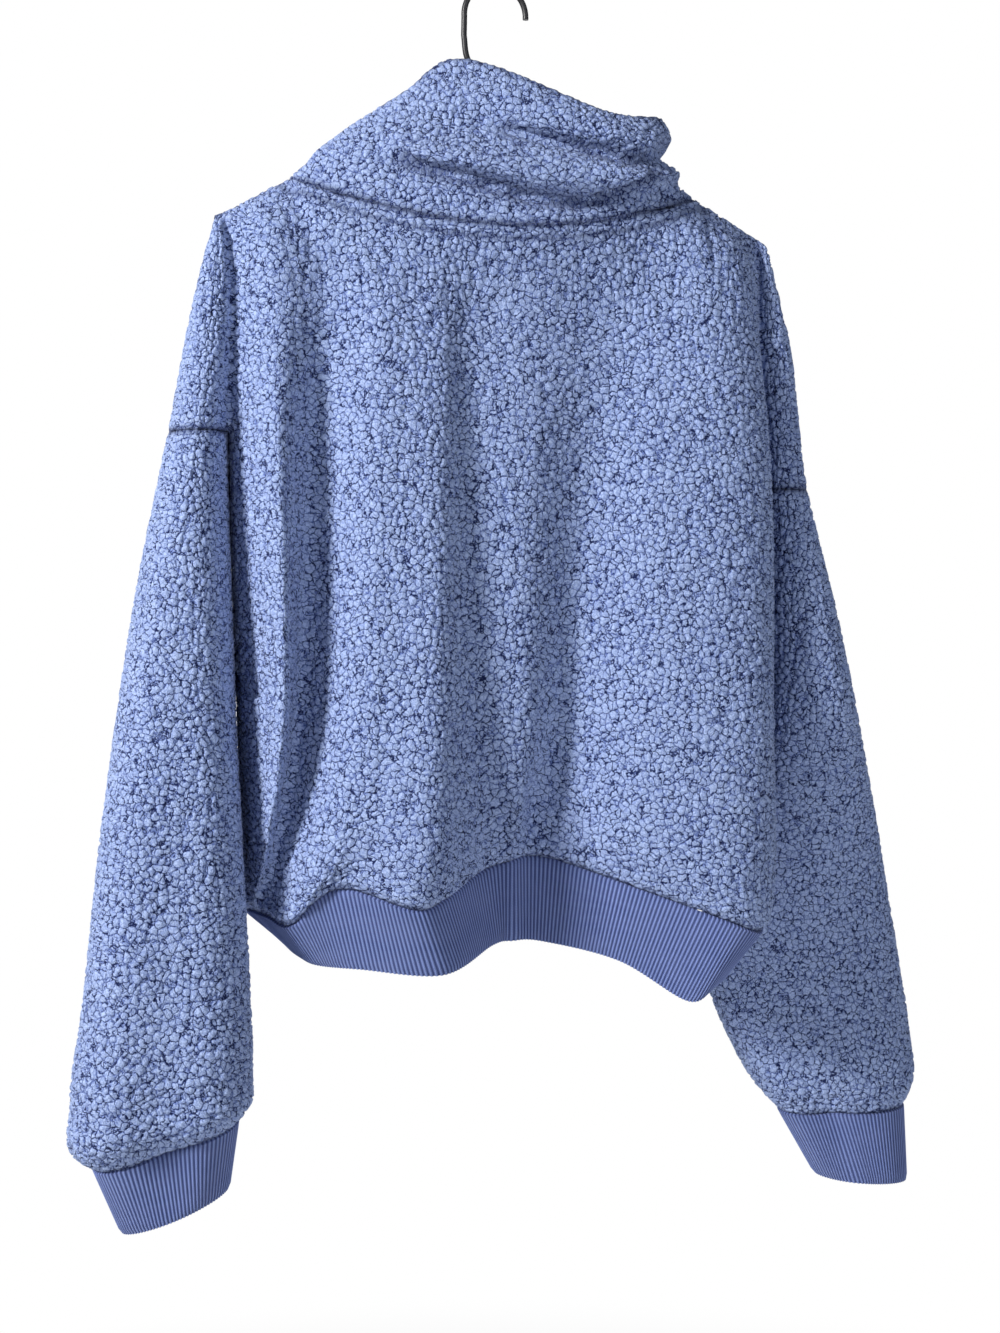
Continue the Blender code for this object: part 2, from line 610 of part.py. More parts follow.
def draw_skin():
    """The whole skin, and the rings that the rib bands and the zip continue from."""
    skin = Skin()
    back, front = body_grids()
    rows = row_parameters()
    seam_row, underarm_row = rows.index(SEAM_LEVEL), rows.index(UNDERARM_LEVEL)
    backward, forward = (lambda place: np.array([0, -1.0, 0])), (lambda place: np.array([0, 1.0, 0]))
    skin.patch(back, lambda row, column: "back", backward)
    skin.patch(front, lambda row, column: "front_left" if column < ZIP_COLUMN
               else "zip" if column == ZIP_COLUMN else "front_right", forward)
    sleeves = {}
    for side, outward, table, creases in (("left", -1, LEFT_SLEEVE, LEFT_CREASES),
                                          ("right", 1, RIGHT_SLEEVE, RIGHT_CREASES)):
        column = 0 if side == "left" else -1
        grid = sleeve_grid(table, creases, outward, back[:, column], front[:, column], rows)
        half = SLEEVE_COLUMNS // 2
        axis = grid.mean(1)

        def panel_of(row, column, side=side, half=half):
            if row >= seam_row:
                return "sleeve_" + side
            return "back" if column < half else "front_" + side

        def outside(place, axis=axis, outward=outward):
            nearest = axis[np.argmin(np.abs(axis[:, 2] - place[2]))]
            return np.array([place[0] - nearest[0] + outward * 5, place[1] - nearest[1], 0])

        skin.patch(grid, panel_of, outside)
        sleeves[side] = grid
    neck_columns = [index for index, x in enumerate(back[0][:, 0]) if abs(x) <= NECK_X + 0.01]
    front_neck = [index for index, x in enumerate(front[0][:, 0]) if abs(x) <= NECK_X + 0.01]
    neck_back, neck_front = back[0][neck_columns], front[0][front_neck]
    ring = np.concatenate([neck_back, neck_front[-2::-1]])
    turn = np.degrees(np.arccos(np.clip(-ring[:, 0] / NECK_X, -1, 1)))
    turn[len(neck_back):] = 360 - turn[len(neck_back):]
    collar = collar_grid(ring, turn)
    collar[:, -1] = collar[:, 0]
    zip_at = len(neck_back) - 1 + sum(1 for x in neck_front[:, 0] if x > ZIP_WIDTH / 2 + 0.01)
    for row in collar[1:]:
        centre, across = (row[zip_at] + row[zip_at + 1]) / 2, row[zip_at + 1] - row[zip_at]
        across *= ZIP_WIDTH / 2 / np.linalg.norm(across)
        row[zip_at], row[zip_at + 1] = centre - across, centre + across
    middle = collar.mean(1)

    def round_neck(place):
        nearest = middle[np.argmin(np.abs(middle[:, 2] - place[2]))]
        return np.array([place[0] - nearest[0], place[1] - nearest[1], 0])

    skin.patch(collar, lambda row, column: "zip" if column == zip_at else "collar", round_neck)
    hem_ring = around_from_zip(back[-1], front[-1])
    foot = around_from_zip(*whole_ring(foot_knots(BACK_FOLDS), foot_knots(FRONT_FOLDS)))
    tape_top, tape_foot = hem_ring[[-1, 0]], foot[[-1, 0]]
    tape = np.array([tape_top * (1 - share) + tape_foot * share
                     for share in np.linspace(0, 1, BAND_ROWS + 1)])
    skin.patch(tape, lambda row, column: "zip", forward)
    inside = hem_ring.mean(0)

    def round_hem(place):
        return np.array([place[0] - inside[0], place[1] - inside[1], 0])

    skin.patch(np.array([hem_ring, foot]), lambda row, column: "hem_band", round_hem)
    for side, cuff in (("left", LEFT_CUFF), ("right", RIGHT_CUFF)):
        ring = sleeves[side][-1]
        inside = ring.mean(0)
        skin.patch(np.array([ring, cuff_foot(side, cuff)]), lambda row, column: "cuff_" + side, round_hem)
        underarm = back[underarm_row, 0 if side == "left" else -1]
        skin.set_normals[skin.point(underarm)] = np.array([0, 0, -1.0])
        skin.pinched += [underarm, sleeves[side][0][0]]
    return skin, {"hem": hem_ring, "foot": foot, "collar": collar, "zip_at": zip_at, "sleeves": sleeves}


def arc_shares(points):
    """The distance along a line of points, as a share of its length."""
    steps = np.linalg.norm(np.diff(points, axis=0), axis=1)
    return np.concatenate([[0], np.cumsum(steps)]) / steps.sum()


def foot_knots(folds):
    """Where each fold line reaches the band's lower edge."""
    return np.array([(fold.foot_x, fold.foot_y, fold.foot_z) for fold in folds], float)


def ribbed_band(name, ring, foot, ring_normals, rows, closed):
    """A knitted band between two lines, its ribs raised in the outer points over a plain inside."""
    length = np.linalg.norm(np.diff(ring, axis=0), axis=1).sum()
    ribs = int(round(length / RIB_PITCH / 2)) * 2
    fine = np.linspace(0, 1, 2 * ribs + 1)
    shares = arc_shares(ring)

    def read(values, at):
        return np.stack([np.interp(at, shares, column) for column in np.asarray(values).T], 1)

    top, bottom, facing = read(ring, fine), read(foot, fine), read(ring_normals, fine)
    down = bottom - top
    down /= np.linalg.norm(down, axis=1)[:, None]
    if closed:
        along = np.roll(bottom[:-1], -1, 0) - np.roll(bottom[:-1], 1, 0)
        along = np.concatenate([along, along[:1]])
    else:
        along = np.gradient(bottom, axis=0)
    lower = np.cross(along, down)
    lower /= np.linalg.norm(lower, axis=1)[:, None]
    lower *= np.sign(np.sum(lower * facing, axis=1))[:, None]
    facing /= np.linalg.norm(facing, axis=1)[:, None]
    raised = np.where(np.arange(len(fine)) % 2 == 1, RIB_RISE, 0.0)[:, None]
    outer, inner = [], []
    for row in range(rows + 1):
        share = row / rows
        turned = facing * (1 - min(1.0, share * 2)) + lower * min(1.0, share * 2)
        turned /= np.linalg.norm(turned, axis=1)[:, None]
        line = top + down * BAND_GAP * (1 - share) + (bottom - top) * share
        outer.append(line + turned * raised)
        inner.append((line - turned * RIB_WALL)[::4])
    outer, inner = np.array(outer), np.array(inner)
    if closed:
        outer, inner = outer[:, :-1], inner[:, :-1]
    columns, inside = outer.shape[1], inner.shape[1]
    base = outer.shape[0] * columns
    places = np.concatenate([outer.reshape(-1, 3), inner.reshape(-1, 3)])
    faces = []
    spans = columns if closed else columns - 1
    for row in range(rows):
        for column in range(spans):
            after = (column + 1) % columns
            faces.append([row * columns + column, row * columns + after,
                          (row + 1) * columns + after, (row + 1) * columns + column])
        for column in range(inside if closed else inside - 1):
            after = (column + 1) % inside
            faces.append([base + row * inside + after, base + row * inside + column,
                          base + (row + 1) * inside + column, base + (row + 1) * inside + after])
    for row, flip in ((0, True), (rows, False)):
        for column in range(inside if closed else inside - 1):
            after = (column + 1) % inside
            rim = [row * columns + (4 * column + step) % columns for step in range(5)]
            face = rim + [base + row * inside + after, base + row * inside + column]
            faces.append(face[::-1] if flip else face)
    if not closed:
        for column, inner_column, flip in ((0, 0, False), (columns - 1, inside - 1, True)):
            for row in range(rows):
                face = [row * columns + column, (row + 1) * columns + column,
                        base + (row + 1) * inside + inner_column, base + row * inside + inner_column]
                faces.append(face[::-1] if flip else face)
    return link(name, facing_out(mesh_of(name, places, faces)), "rib")


def cuff_foot(side, cuff):
    """The lower edge of a cuff, as many points round it as its sleeve has."""
    turns = np.linspace(0, 2 * math.pi, SLEEVE_COLUMNS + 1)
    outward = -1 if side == "left" else 1
    x = cuff.centre_x - outward * cuff.half_x * np.cos(turns)
    y = cuff.centre_y - cuff.half_y * np.sin(turns)
    foot = np.stack([x, y, cuff.centre_z + cuff.tilt * (x - cuff.centre_x)], 1)
    foot[-1] = foot[0]
    return foot


def build_bands(skin, rings):
    """The hem band and both cuffs."""
    normals = skin.normals()

    def normals_at(line):
        return np.array([normals[skin.point(place)] for place in line])

    hem = rings["hem"]
    ribbed_band("hem_band", band_ends(hem), band_ends(rings["foot"]), normals_at(hem), BAND_ROWS, False)
    for side, cuff in (("left", LEFT_CUFF), ("right", RIGHT_CUFF)):
        ring = rings["sleeves"][side][-1]
        ribbed_band("cuff_" + side, ring, cuff_foot(side, cuff), normals_at(ring), CUFF_ROWS, True)


def band_ends(line):
    """A line that starts and ends half a seam gap from the zip."""
    line = np.array(line, float)
    for end, after in ((0, 1), (-1, -2)):
        step = line[after] - line[end]
        line[end] = line[end] + step / np.linalg.norm(step) * SEAM_GAP
    return line


def wire(name, points, radius, finish, sides=2):
    """A round bar along a line of points, with filled ends."""
    data = bpy.data.curves.new(name, "CURVE")
    data.dimensions = "3D"
    data.bevel_depth = radius * MM
    data.bevel_resolution = sides
    data.use_fill_caps = True
    spline = data.splines.new("POLY")
    spline.points.add(len(points) - 1)
    for place, point in zip(points, spline.points):
        point.co = (*(np.array(place) * MM), 1.0)
    obj = bpy.data.objects.new(name, data)
    bpy.context.scene.collection.objects.link(obj)
    data.materials.append(material(finish))
    return obj


def build_hanger():
    """The hook, its hub and the two arms that carry the shoulders."""
    stem = curve(STEM, np.linspace(0, len(STEM) - 1, STEM_STEPS + 1))
    radius = HOOK_INNER + HOOK_WIRE
    turns = np.radians(np.linspace(*HOOK_TURNS, HOOK_STEPS + 1))
    bend = np.stack([radius * np.cos(turns), -HOOK_INNER + radius * np.sin(turns)], 1)
    line = np.concatenate([stem, bend])
    wire("hook", [(x, 0, z) for x, z in line], HOOK_WIRE, "hanger")
    drop = PILE_WALL + ARM_CLEAR + ARM_RADIUS
    arm = []
    slope = (NECK_Z[0] - TIP_Z[0]) / (TIP_X - NECK_X)
    drop /= math.cos(math.atan(slope))
    for side, neck in ((-1, NECK_Z[0]), (1, NECK_Z[1])):
        arm.append([(side * ARM_REACH, neck - slope * (ARM_REACH - NECK_X) - drop),
                    (side * NECK_X, neck - drop), (side * NECK_X / 2, (neck - drop + HUB_Z) / 2 + ARM_BOW)])
    line = arm[0] + [(0, HUB_Z)] + arm[1][::-1]
    middle = curve(line, np.linspace(0, len(line) - 1, ARM_STEPS + 1))
    arms = wire("hanger", [(x, 0, z) for x, z in middle], ARM_RADIUS, "hanger")
    mesh = bpy.data.meshes.new_from_object(arms.evaluated_get(bpy.context.evaluated_depsgraph_get()))
    bpy.data.objects.remove(arms)
    obj = link("hanger", mesh, "hanger")
    hub = bpy.data.meshes.new("hub")
    shape = bmesh.new()
    bmesh.ops.create_cone(shape, cap_ends=True, segments=HUB_SIDES, radius1=HUB_RADIUS * MM,
                          radius2=ARM_RADIUS * MM, depth=2 * HUB_TOP * MM)
    bmesh.ops.translate(shape, verts=shape.verts, vec=Vector((0, 0, HUB_Z * MM)))
    shape.to_mesh(hub)
    shape.free()
    add_form(obj, "hub_form", hub)
    return obj


def build_slider(rings):
    """The zip's slider with its bridge, and the pull tab that hangs from the bridge."""
    collar, zip_at = rings["collar"], rings["zip_at"]
    path = (collar[:, zip_at] + collar[:, zip_at + 1]) / 2
    row = SLIDER_AT * COLLAR_ROWS
    place = curve(path, [row])[0]
    up = curve(path, [row + SLOPE_ROWS])[0] - curve(path, [row - SLOPE_ROWS])[0]
    up[0] = 0
    up /= np.linalg.norm(up)
    out = np.array([0, up[2], -up[1]])
    centre = place + out * (SLIDER_THICK / 2 + SEAM_GAP - ZIP_SINK)

    def at(x, y, z):
        return centre + np.array([x, 0, 0]) + out * y + up * z

    half = np.array([SLIDER_WIDTH, SLIDER_THICK, SLIDER_LENGTH]) / 2
    shape = bmesh.new()
    bmesh.ops.create_cube(shape, size=1.0)
    for vertex in shape.verts:
        local = np.array(vertex.co) * 2 * half
        vertex.co = Vector(at(*local) * MM)
    bmesh.ops.bevel(shape, geom=shape.edges[:], offset=SLIDER_EDGE * MM, segments=2, affect="EDGES")
    body = bpy.data.meshes.new("zip_slider")
    shape.to_mesh(body)
    shape.free()
    slider = link("zip_slider", body, "zip_metal")
    rise = SLIDER_THICK / 2 + BRIDGE_RISE
    legs = [at(-BRIDGE_SPAN / 2, BRIDGE_FOOT, 0), at(-BRIDGE_SPAN / 2, rise, 0),
            at(BRIDGE_SPAN / 2, rise, 0), at(BRIDGE_SPAN / 2, BRIDGE_FOOT, 0)]
    bridge = wire("bridge_form", legs, BRIDGE_RADIUS, "zip_metal")
    bridge_mesh = bpy.data.meshes.new_from_object(bridge.evaluated_get(bpy.context.evaluated_depsgraph_get()))
    bpy.data.objects.remove(bridge)
    add_form(slider, "bridge", bridge_mesh)
    pivot = at(0, rise, 0)
    build_tab(pivot)
    return pivot


def build_tab(pivot):
    """The pull tab, hanging straight down from the bridge by the knuckle round it."""
    inner = BRIDGE_RADIUS + SEAM_GAP
    outer = inner + TAB_KNUCKLE
    half = BRIDGE_SPAN / 2 - BRIDGE_RADIUS - SEAM_GAP
    turns = np.linspace(0, 2 * math.pi, KNUCKLE_SIDES, endpoint=False)
    places = [(x, radius * math.sin(turn), radius * math.cos(turn))
              for x in (-half, half) for radius in (inner, outer) for turn in turns]
    faces = []
    for step in range(KNUCKLE_SIDES):
        after = (step + 1) % KNUCKLE_SIDES
        inside, outside, far_inside, far_outside = (ring * KNUCKLE_SIDES for ring in range(4))
        faces += [[inside + step, outside + step, outside + after, inside + after],
                  [far_inside + after, far_outside + after, far_outside + step, far_inside + step],
                  [inside + after, far_inside + after, far_inside + step, inside + step],
                  [outside + step, far_outside + step, far_outside + after, outside + after]]
    mesh = mesh_of("pull_tab", places, faces)
    tab = link("pull_tab", facing_out(mesh), "zip_metal", smooth=False)
    tab.location = Vector(pivot * MM)
    top, thick = -inner - TAB_KNUCKLE / 2, TAB_THICK / 2
    side, tip = TAB_WIDTH / 2, TAB_WIDTH / 2 - TAB_CORNER
    right = [(half, top), (half, -outer - TAB_NECK), (side, -outer - TAB_SHOULDER),
             (side, TAB_POINT - TAB_LENGTH), (tip, -TAB_LENGTH)]
    outline = right + [(-x, z) for x, z in reversed(right)]
    count = len(outline)
    places = [(x, y, z) for y in (-thick, thick) for x, z in outline]
    faces = [list(range(count)), list(range(2 * count - 1, count - 1, -1))]
    faces += [[step, step + count, (step + 1) % count + count, (step + 1) % count] for step in range(count)]
    add_form(tab, "tab_plate", facing_out(mesh_of("tab_plate", places, faces)))
    bpy.data.objects["tab_plate"].location = tab.location


def facing_out(mesh):
    """The closed mesh with its faces turned outwards."""
    shaped = bmesh.new()
    shaped.from_mesh(mesh)
    bmesh.ops.recalc_face_normals(shaped, faces=shaped.faces)
    if shaped.calc_volume(signed=True) < 0:
        bmesh.ops.reverse_faces(shaped, faces=shaped.faces)
    shaped.to_mesh(mesh)
    shaped.free()
    return mesh


def add_form(obj, name, mesh):
    """Joins a helper form to an object as one body."""
    form = bpy.data.objects.new(name, mesh)
    bpy.context.scene.collection.objects.link(form)
    form.hide_render = True
    form.display_type = "WIRE"
    joined = obj.modifiers.new(name, "BOOLEAN")
    joined.operation = "UNION"
    joined.object = form


def main():
    """Builds every piece of the jacket and its hanger."""
    clear_scene()
    skin, rings = draw_skin()
    for panel in ("back", "front_left", "front_right", "sleeve_left", "sleeve_right", "collar"):
        places, faces = skin.wall(panel, PILE_WALL)
        link(panel, mesh_of(panel, places, faces), "sherpa")
    places, faces = skin.wall("zip", ZIP_WALL, ZIP_SINK)
    link("zip", mesh_of("zip", places, faces), "zip")
    build_bands(skin, rings)
    build_slider(rings)
    build_hanger()


main()
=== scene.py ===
"""A periwinkle sherpa jacket on a plain black hanger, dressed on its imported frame.

The tables are in millimetres, as the jacket's cut is, and the meshes are in metres. +Z is up and -Y is the
jacket's back. The origin is the top of the hook's inner curve.
"""

from __future__ import annotations

import json
import logging
import math
from dataclasses import dataclass, field
from enum import Enum
from typing import Any, Callable, NamedTuple, Sequence

import bmesh
import bpy
import numpy as np
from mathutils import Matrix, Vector
from mathutils.bvhtree import BVHTree
from mathutils.kdtree import KDTree

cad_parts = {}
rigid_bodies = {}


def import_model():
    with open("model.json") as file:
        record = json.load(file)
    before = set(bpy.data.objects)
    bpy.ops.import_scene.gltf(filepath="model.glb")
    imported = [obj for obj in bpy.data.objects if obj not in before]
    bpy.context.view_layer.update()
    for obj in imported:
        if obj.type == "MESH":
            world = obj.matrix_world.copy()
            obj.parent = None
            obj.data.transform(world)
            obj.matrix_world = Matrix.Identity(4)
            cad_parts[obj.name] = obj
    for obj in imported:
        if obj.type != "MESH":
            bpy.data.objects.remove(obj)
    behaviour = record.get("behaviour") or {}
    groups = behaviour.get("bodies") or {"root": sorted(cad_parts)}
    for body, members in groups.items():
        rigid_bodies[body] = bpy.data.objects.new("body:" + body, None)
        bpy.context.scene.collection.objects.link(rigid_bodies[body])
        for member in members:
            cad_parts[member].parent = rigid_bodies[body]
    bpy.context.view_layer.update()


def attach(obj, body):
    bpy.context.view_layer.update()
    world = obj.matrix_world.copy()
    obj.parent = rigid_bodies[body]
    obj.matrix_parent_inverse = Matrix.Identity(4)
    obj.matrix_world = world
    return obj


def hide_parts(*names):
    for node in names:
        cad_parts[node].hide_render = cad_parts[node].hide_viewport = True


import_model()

LOG = logging.getLogger("sherpa_jacket")
MM = 0.001
TINY = 1e-9
SHARED_DIGITS = 4
WHITE = (1.0, 1.0, 1.0)
BLACK = (0.0, 0.0, 0.0)
Array = np.ndarray
Colour = tuple[float, float, float]


class Panel(str, Enum):
    """The cut pieces of the jacket, by the names of their nodes."""

    BACK = "back"
    FRONT_LEFT = "front_left"
    FRONT_RIGHT = "front_right"
    SLEEVE_LEFT = "sleeve_left"
    SLEEVE_RIGHT = "sleeve_right"
    COLLAR = "collar"
    ZIP = "zip"
    HEM_BAND = "hem_band"
    CUFF_LEFT = "cuff_left"
    CUFF_RIGHT = "cuff_right"


class Side(Enum):
    """The wearer's left and right, by the way that X runs towards them."""

    LEFT = -1
    RIGHT = 1


class Term:
    """A number socket in a node tree; arithmetic on it adds Math nodes."""

    def __init__(self, graph: Graph, socket: bpy.types.NodeSocket) -> None:
        """Wraps one socket of a graph's tree."""
        self.graph = graph
        self.socket = socket

    def math(self, operation: str, *others: Term | float, first: bool = True) -> Term:
        """Adds one Math node.

        Args:
            operation: the Math node's operation.
            others: the other operands.
            first: whether this term is the first operand, or else the last.

        Returns:
            The node's result.
        """
        node = self.graph.tree.nodes.new("ShaderNodeMath")
        node.operation = operation
        operands = [self, *others] if first else [*others, self]
        for operand, socket in zip(operands, node.inputs):
            self.graph.join(operand, socket)
        return Term(self.graph, node.outputs[0])

    def __add__(self, other: Term | float) -> Term:
        """This plus the other."""
        return self.math("ADD", other)

    def __radd__(self, other: float) -> Term:
        """The other plus this."""
        return self.math("ADD", other)

    def __sub__(self, other: Term | float) -> Term:
        """This less the other."""
        return self.math("SUBTRACT", other)

    def __rsub__(self, other: float) -> Term:
        """The other less this."""
        return self.math("SUBTRACT", other, first=False)

    def __mul__(self, other: Term | float) -> Term:
        """This times the other."""
        return self.math("MULTIPLY", other)

    def __rmul__(self, other: float) -> Term:
        """The other times this."""
        return self.math("MULTIPLY", other)

    def __truediv__(self, other: Term | float) -> Term:
        """This over the other."""
        return self.math("DIVIDE", other)

    def __pow__(self, other: float) -> Term:
        """This to a power."""
        return self.math("POWER", other)

    def sine(self) -> Term:
        """The sine of this."""
        return self.math("SINE")

    def ramp(self, low: float, high: float, start: float = 0.0, end: float = 1.0) -> Term:
        """A smooth step of this.

        Args:
            low: where the step starts.
            high: where it ends.
            start: the result at and below low.
            end: the result at and above high.

        Returns:
            The stepped value.
        """
        values = {"Value": self, "From Min": low, "From Max": high, "To Min": start, "To Max": end}
        node = self.graph.node("ShaderNodeMapRange", {"interpolation_type": "SMOOTHSTEP"}, values)
        return Term(self.graph, node.outputs["Result"])


class Graph:
    """A node tree that is written as expressions."""

    def __init__(self, tree: bpy.types.NodeTree) -> None:
        """Wraps a tree."""
        self.tree = tree

    def node(self, kind: str, settings: dict[str, Any] | None = None,
             values: dict[str | int, Any] | None = None) -> bpy.types.Node:
        """Adds a node.

        Args:
            kind: the node's type.
            settings: its settings, set first.
            values: the values or links of its sockets, by name or number.

        Returns:
            The node.
        """
        node = self.tree.nodes.new(kind)
        for name, value in (settings or {}).items():
            setattr(node, name, value)
        for name, value in (values or {}).items():
            self.join(value, node.inputs[name])
        return node

    def join(self, value: Any, socket: bpy.types.NodeSocket) -> None:
        """Links a socket or a term to a socket, or sets its value."""
        if isinstance(value, Term):
            value = value.socket
        if isinstance(value, bpy.types.NodeSocket):
            self.tree.links.new(value, socket)
        else:
            socket.default_value = value

    def term(self, socket: bpy.types.NodeSocket) -> Term:
        """A socket as a term."""
        return Term(self, socket)

    def vector(self, operation: str, values: dict[str | int, Any]) -> bpy.types.Node:
        """A Vector Math node."""
        return self.node("ShaderNodeVectorMath", {"operation": operation}, values)

    def scaled(self, vector: bpy.types.NodeSocket, scale: Term | float) -> bpy.types.NodeSocket:
        """A vector times a number."""
        return self.vector("SCALE", {0: vector, "Scale": scale}).outputs[0]

    def moved(self, vector: bpy.types.NodeSocket, other: Any) -> bpy.types.NodeSocket:
        """A vector plus another."""
        return self.vector("ADD", {0: vector, 1: other}).outputs[0]

    def parts(self, vector: bpy.types.NodeSocket) -> list[Term]:
        """A vector's three parts."""
        return [self.term(part) for part in self.node("ShaderNodeSeparateXYZ", None, {0: vector}).outputs]

    def attribute(self, name: str) -> bpy.types.Node:
        """A named attribute, in a shader tree."""
        return self.node("ShaderNodeAttribute", {"attribute_name": name})

    def millimetres(self) -> bpy.types.NodeSocket:
        """The object's coordinates in millimetres, in a shader tree."""
        return self.scaled(self.node("ShaderNodeTexCoord").outputs["Object"], 1 / MM)

    def noise(self, vector: bpy.types.NodeSocket, scale: float, detail: float = 2.0) -> bpy.types.Node:
        """A noise texture on a vector."""
        return self.node("ShaderNodeTexNoise", {"noise_dimensions": "3D"},
                         {"Vector": vector, "Scale": scale, "Detail": detail, "Roughness": 0.6})

    def mixed(self, share: Term | float, low: Any, high: Any) -> bpy.types.NodeSocket:
        """Two colours mixed by a share."""
        node = self.node("ShaderNodeMix", {"data_type": "RGBA", "blend_type": "MIX"})
        self.join(share, node.inputs[0])
        for value, socket in ((low, node.inputs[6]), (high, node.inputs[7])):
            self.join((*value, 1.0) if isinstance(value, tuple) and len(value) == 3 else value, socket)
        return node.outputs[2]

    def bump(self, shader: bpy.types.Node, height: Any, strength: float, distance: float) -> None:
        """Roughens a shader's normal by a height; the distance is in metres."""
        values = {"Height": height, "Strength": strength, "Distance": distance}
        node = self.node("ShaderNodeBump", None, values)
        self.join(node.outputs[0], shader.inputs["Normal"])


@dataclass(frozen=True)
class ClumpField:
    """The curled clumps of sherpa pile: one pattern that both the relief and the colour read.

    The position that it reads is in metres, before any relief.
    """

    size: float = 4.6
    wander: float = 0.50
    wander_size: float = 3.2
    seed: float = 7.0
    dome: float = 0.22

    def build(self, graph: Graph, position: bpy.types.NodeSocket) -> tuple[Term, Term, bpy.types.NodeSocket]:
        """Adds the pattern's nodes to a shader or geometry tree.

        Args:
            graph: the tree.
            position: the rest position in metres.

        Returns:
            The distance to the nearest crack in clump sizes, a number from 0 to 1 for each clump, and the
            position in clump sizes.
        """
        place = graph.moved(graph.scaled(position, 1 / (self.size * MM)), (self.seed, self.seed, self.seed))
        swirl = graph.noise(place, self.size / self.wander_size, 2.0).outputs["Color"]
        swirl = graph.scaled(graph.moved(swirl, (-0.5, -0.5, -0.5)), 2 * self.wander)
        place = graph.moved(place, swirl)
        cell = graph.node("ShaderNodeTexVoronoi", {"feature": "F1", "voronoi_dimensions": "3D"},
                          {"Vector": place, "Scale": 1.0, "Randomness": 1.0})
        return self.edge(graph, place, 1.0), graph.parts(cell.outputs["Color"])[0], place

    @staticmethod
    def edge(graph: Graph, place: bpy.types.NodeSocket, scale: float) -> Term:
        """The distance to the nearest edge between cells, in cells."""
        node = graph.node("ShaderNodeTexVoronoi", {"feature": "DISTANCE_TO_EDGE", "voronoi_dimensions": "3D"},
                          {"Vector": place, "Scale": scale, "Randomness": 1.0})
        return graph.term(node.outputs["Distance"])


@dataclass(frozen=True)
class SherpaFinish:
    """Periwinkle pile: curly clumps with painted highlight, and painted shade in cracks that open and close.

    How many curls, wisps of fuzz, gapes and broad shades there are is counted across one clump.
    """

    # Colours: the clumps' tops as painted highlight, their sides as painted shade, the cracks as painted
    # shade.
    tip: Colour = (0.440, 0.550, 0.840)
    side: Colour = (0.120, 0.180, 0.470)
    crack_shade: Colour = (0.008, 0.014, 0.070)
    curl: float = 2.3
    fuzz: float = 4.6
    gape: float = 0.85
    broad: float = 0.12
    crack_width: float = 0.026
    crack_gape: float = 0.060
    seam_and_crease_shade: float = 0.72
    clumps: ClumpField = ClumpField()

    def material(self) -> bpy.types.Material:
        """The pile's material."""
        made, graph, shader = new_material("sherpa_pile")
        rest = graph.attribute("rest").outputs["Vector"]
        seam = graph.term(graph.attribute("seam").outputs["Fac"])
        edge, tone, place = self.clumps.build(graph, rest)
        curl = self.clumps.edge(graph, place, self.curl)
        fuzz = graph.term(graph.noise(place, self.fuzz, 2.0).outputs["Fac"])
        gape = graph.term(graph.noise(place, self.gape, 1.0).outputs["Fac"])
        broad = graph.term(graph.noise(place, self.broad, 3.0).outputs["Fac"])
        # Painted highlight on the domes of clumps and curls, plus random tone from the fuzz, each clump and
        # broad noise.
        light = (edge.ramp(0.02, 0.16) * 0.34 + curl.ramp(0.02, 0.22) * 0.30 + fuzz * 0.80 + tone * 0.05
                 + broad * 0.14)
        body = graph.mixed(light.ramp(0.38, 1.24), self.side, self.tip)
        # Painted shade: in the gaps between curls where they gape, then in the cracks between the clumps.
        body = graph.mixed(curl.ramp(0.0, 0.07, 0.30, 0.0) * gape.ramp(0.46, 0.70), body, self.crack_shade)
        width = self.crack_width + self.crack_gape * gape.ramp(0.36, 0.66)
        body = graph.mixed((1.0 - edge / width).ramp(0.0, 0.6) * 0.97, body, self.crack_shade)
        # Dark seam and stitch lines, with painted shade in their grooves and along the collar's creases under
        # its rolls.
        body = graph.mixed(seam * self.seam_and_crease_shade, body, self.crack_shade)
        graph.join(body, shader.inputs["Base Color"])
        set_sockets(shader, {"Roughness": 0.95, "Specular IOR Level": 0.10, "Sheen Weight": 0.12,
                             "Sheen Roughness": 0.5, "Sheen Tint": (0.80, 0.86, 1.0, 1.0)})
        height = edge.ramp(0.0, 0.16) * 0.6 + curl.ramp(0.0, 0.22) * 0.4 + fuzz * 0.5
        graph.bump(shader, height, 0.7, 1.2 * MM)
        return made


@dataclass(frozen=True)
class RibFinish:
    """Smooth rib knit, with painted shade between its ribs."""

    # The ribs' faces, the painted shade between them, and a random lighter bloom.
    face: Colour = (0.215, 0.290, 0.600)
    valley: Colour = (0.030, 0.050, 0.180)
    bloom: Colour = (0.36, 0.42, 0.74)
    course: float = 1.5

    def material(self) -> bpy.types.Material:
        """The knit's material; its attribute knit holds ribs across and millimetres down."""
        made, graph, shader = new_material("rib_knit")
        knit = graph.attribute("knit").outputs["Vector"]
        across, down, _ = graph.parts(knit)
        rib = (across * (2 * math.pi)).sine() * 0.5 + 0.5
        leg = (across * (4 * math.pi)).sine()
        course = (down * (2 * math.pi / self.course) + leg * 1.6).sine() * 0.5 + 0.5
        broad = graph.term(graph.noise(knit, 0.09, 2.0).outputs["Fac"])
        # Painted shade between the ribs and between the knit's courses.
        body = graph.mixed(rib.ramp(0.12, 0.85) * (0.75 + 0.25 * course), self.valley, self.face)
        body = graph.mixed(0.2 * broad, body, self.bloom)
        graph.join(body, shader.inputs["Base Color"])
        set_sockets(shader, {"Roughness": 0.85, "Specular IOR Level": 0.15, "Sheen Weight": 0.1,
                             "Sheen Roughness": 0.5})
        graph.bump(shader, rib * 0.7 + course * 0.3, 0.8, 0.9 * MM)
        return made


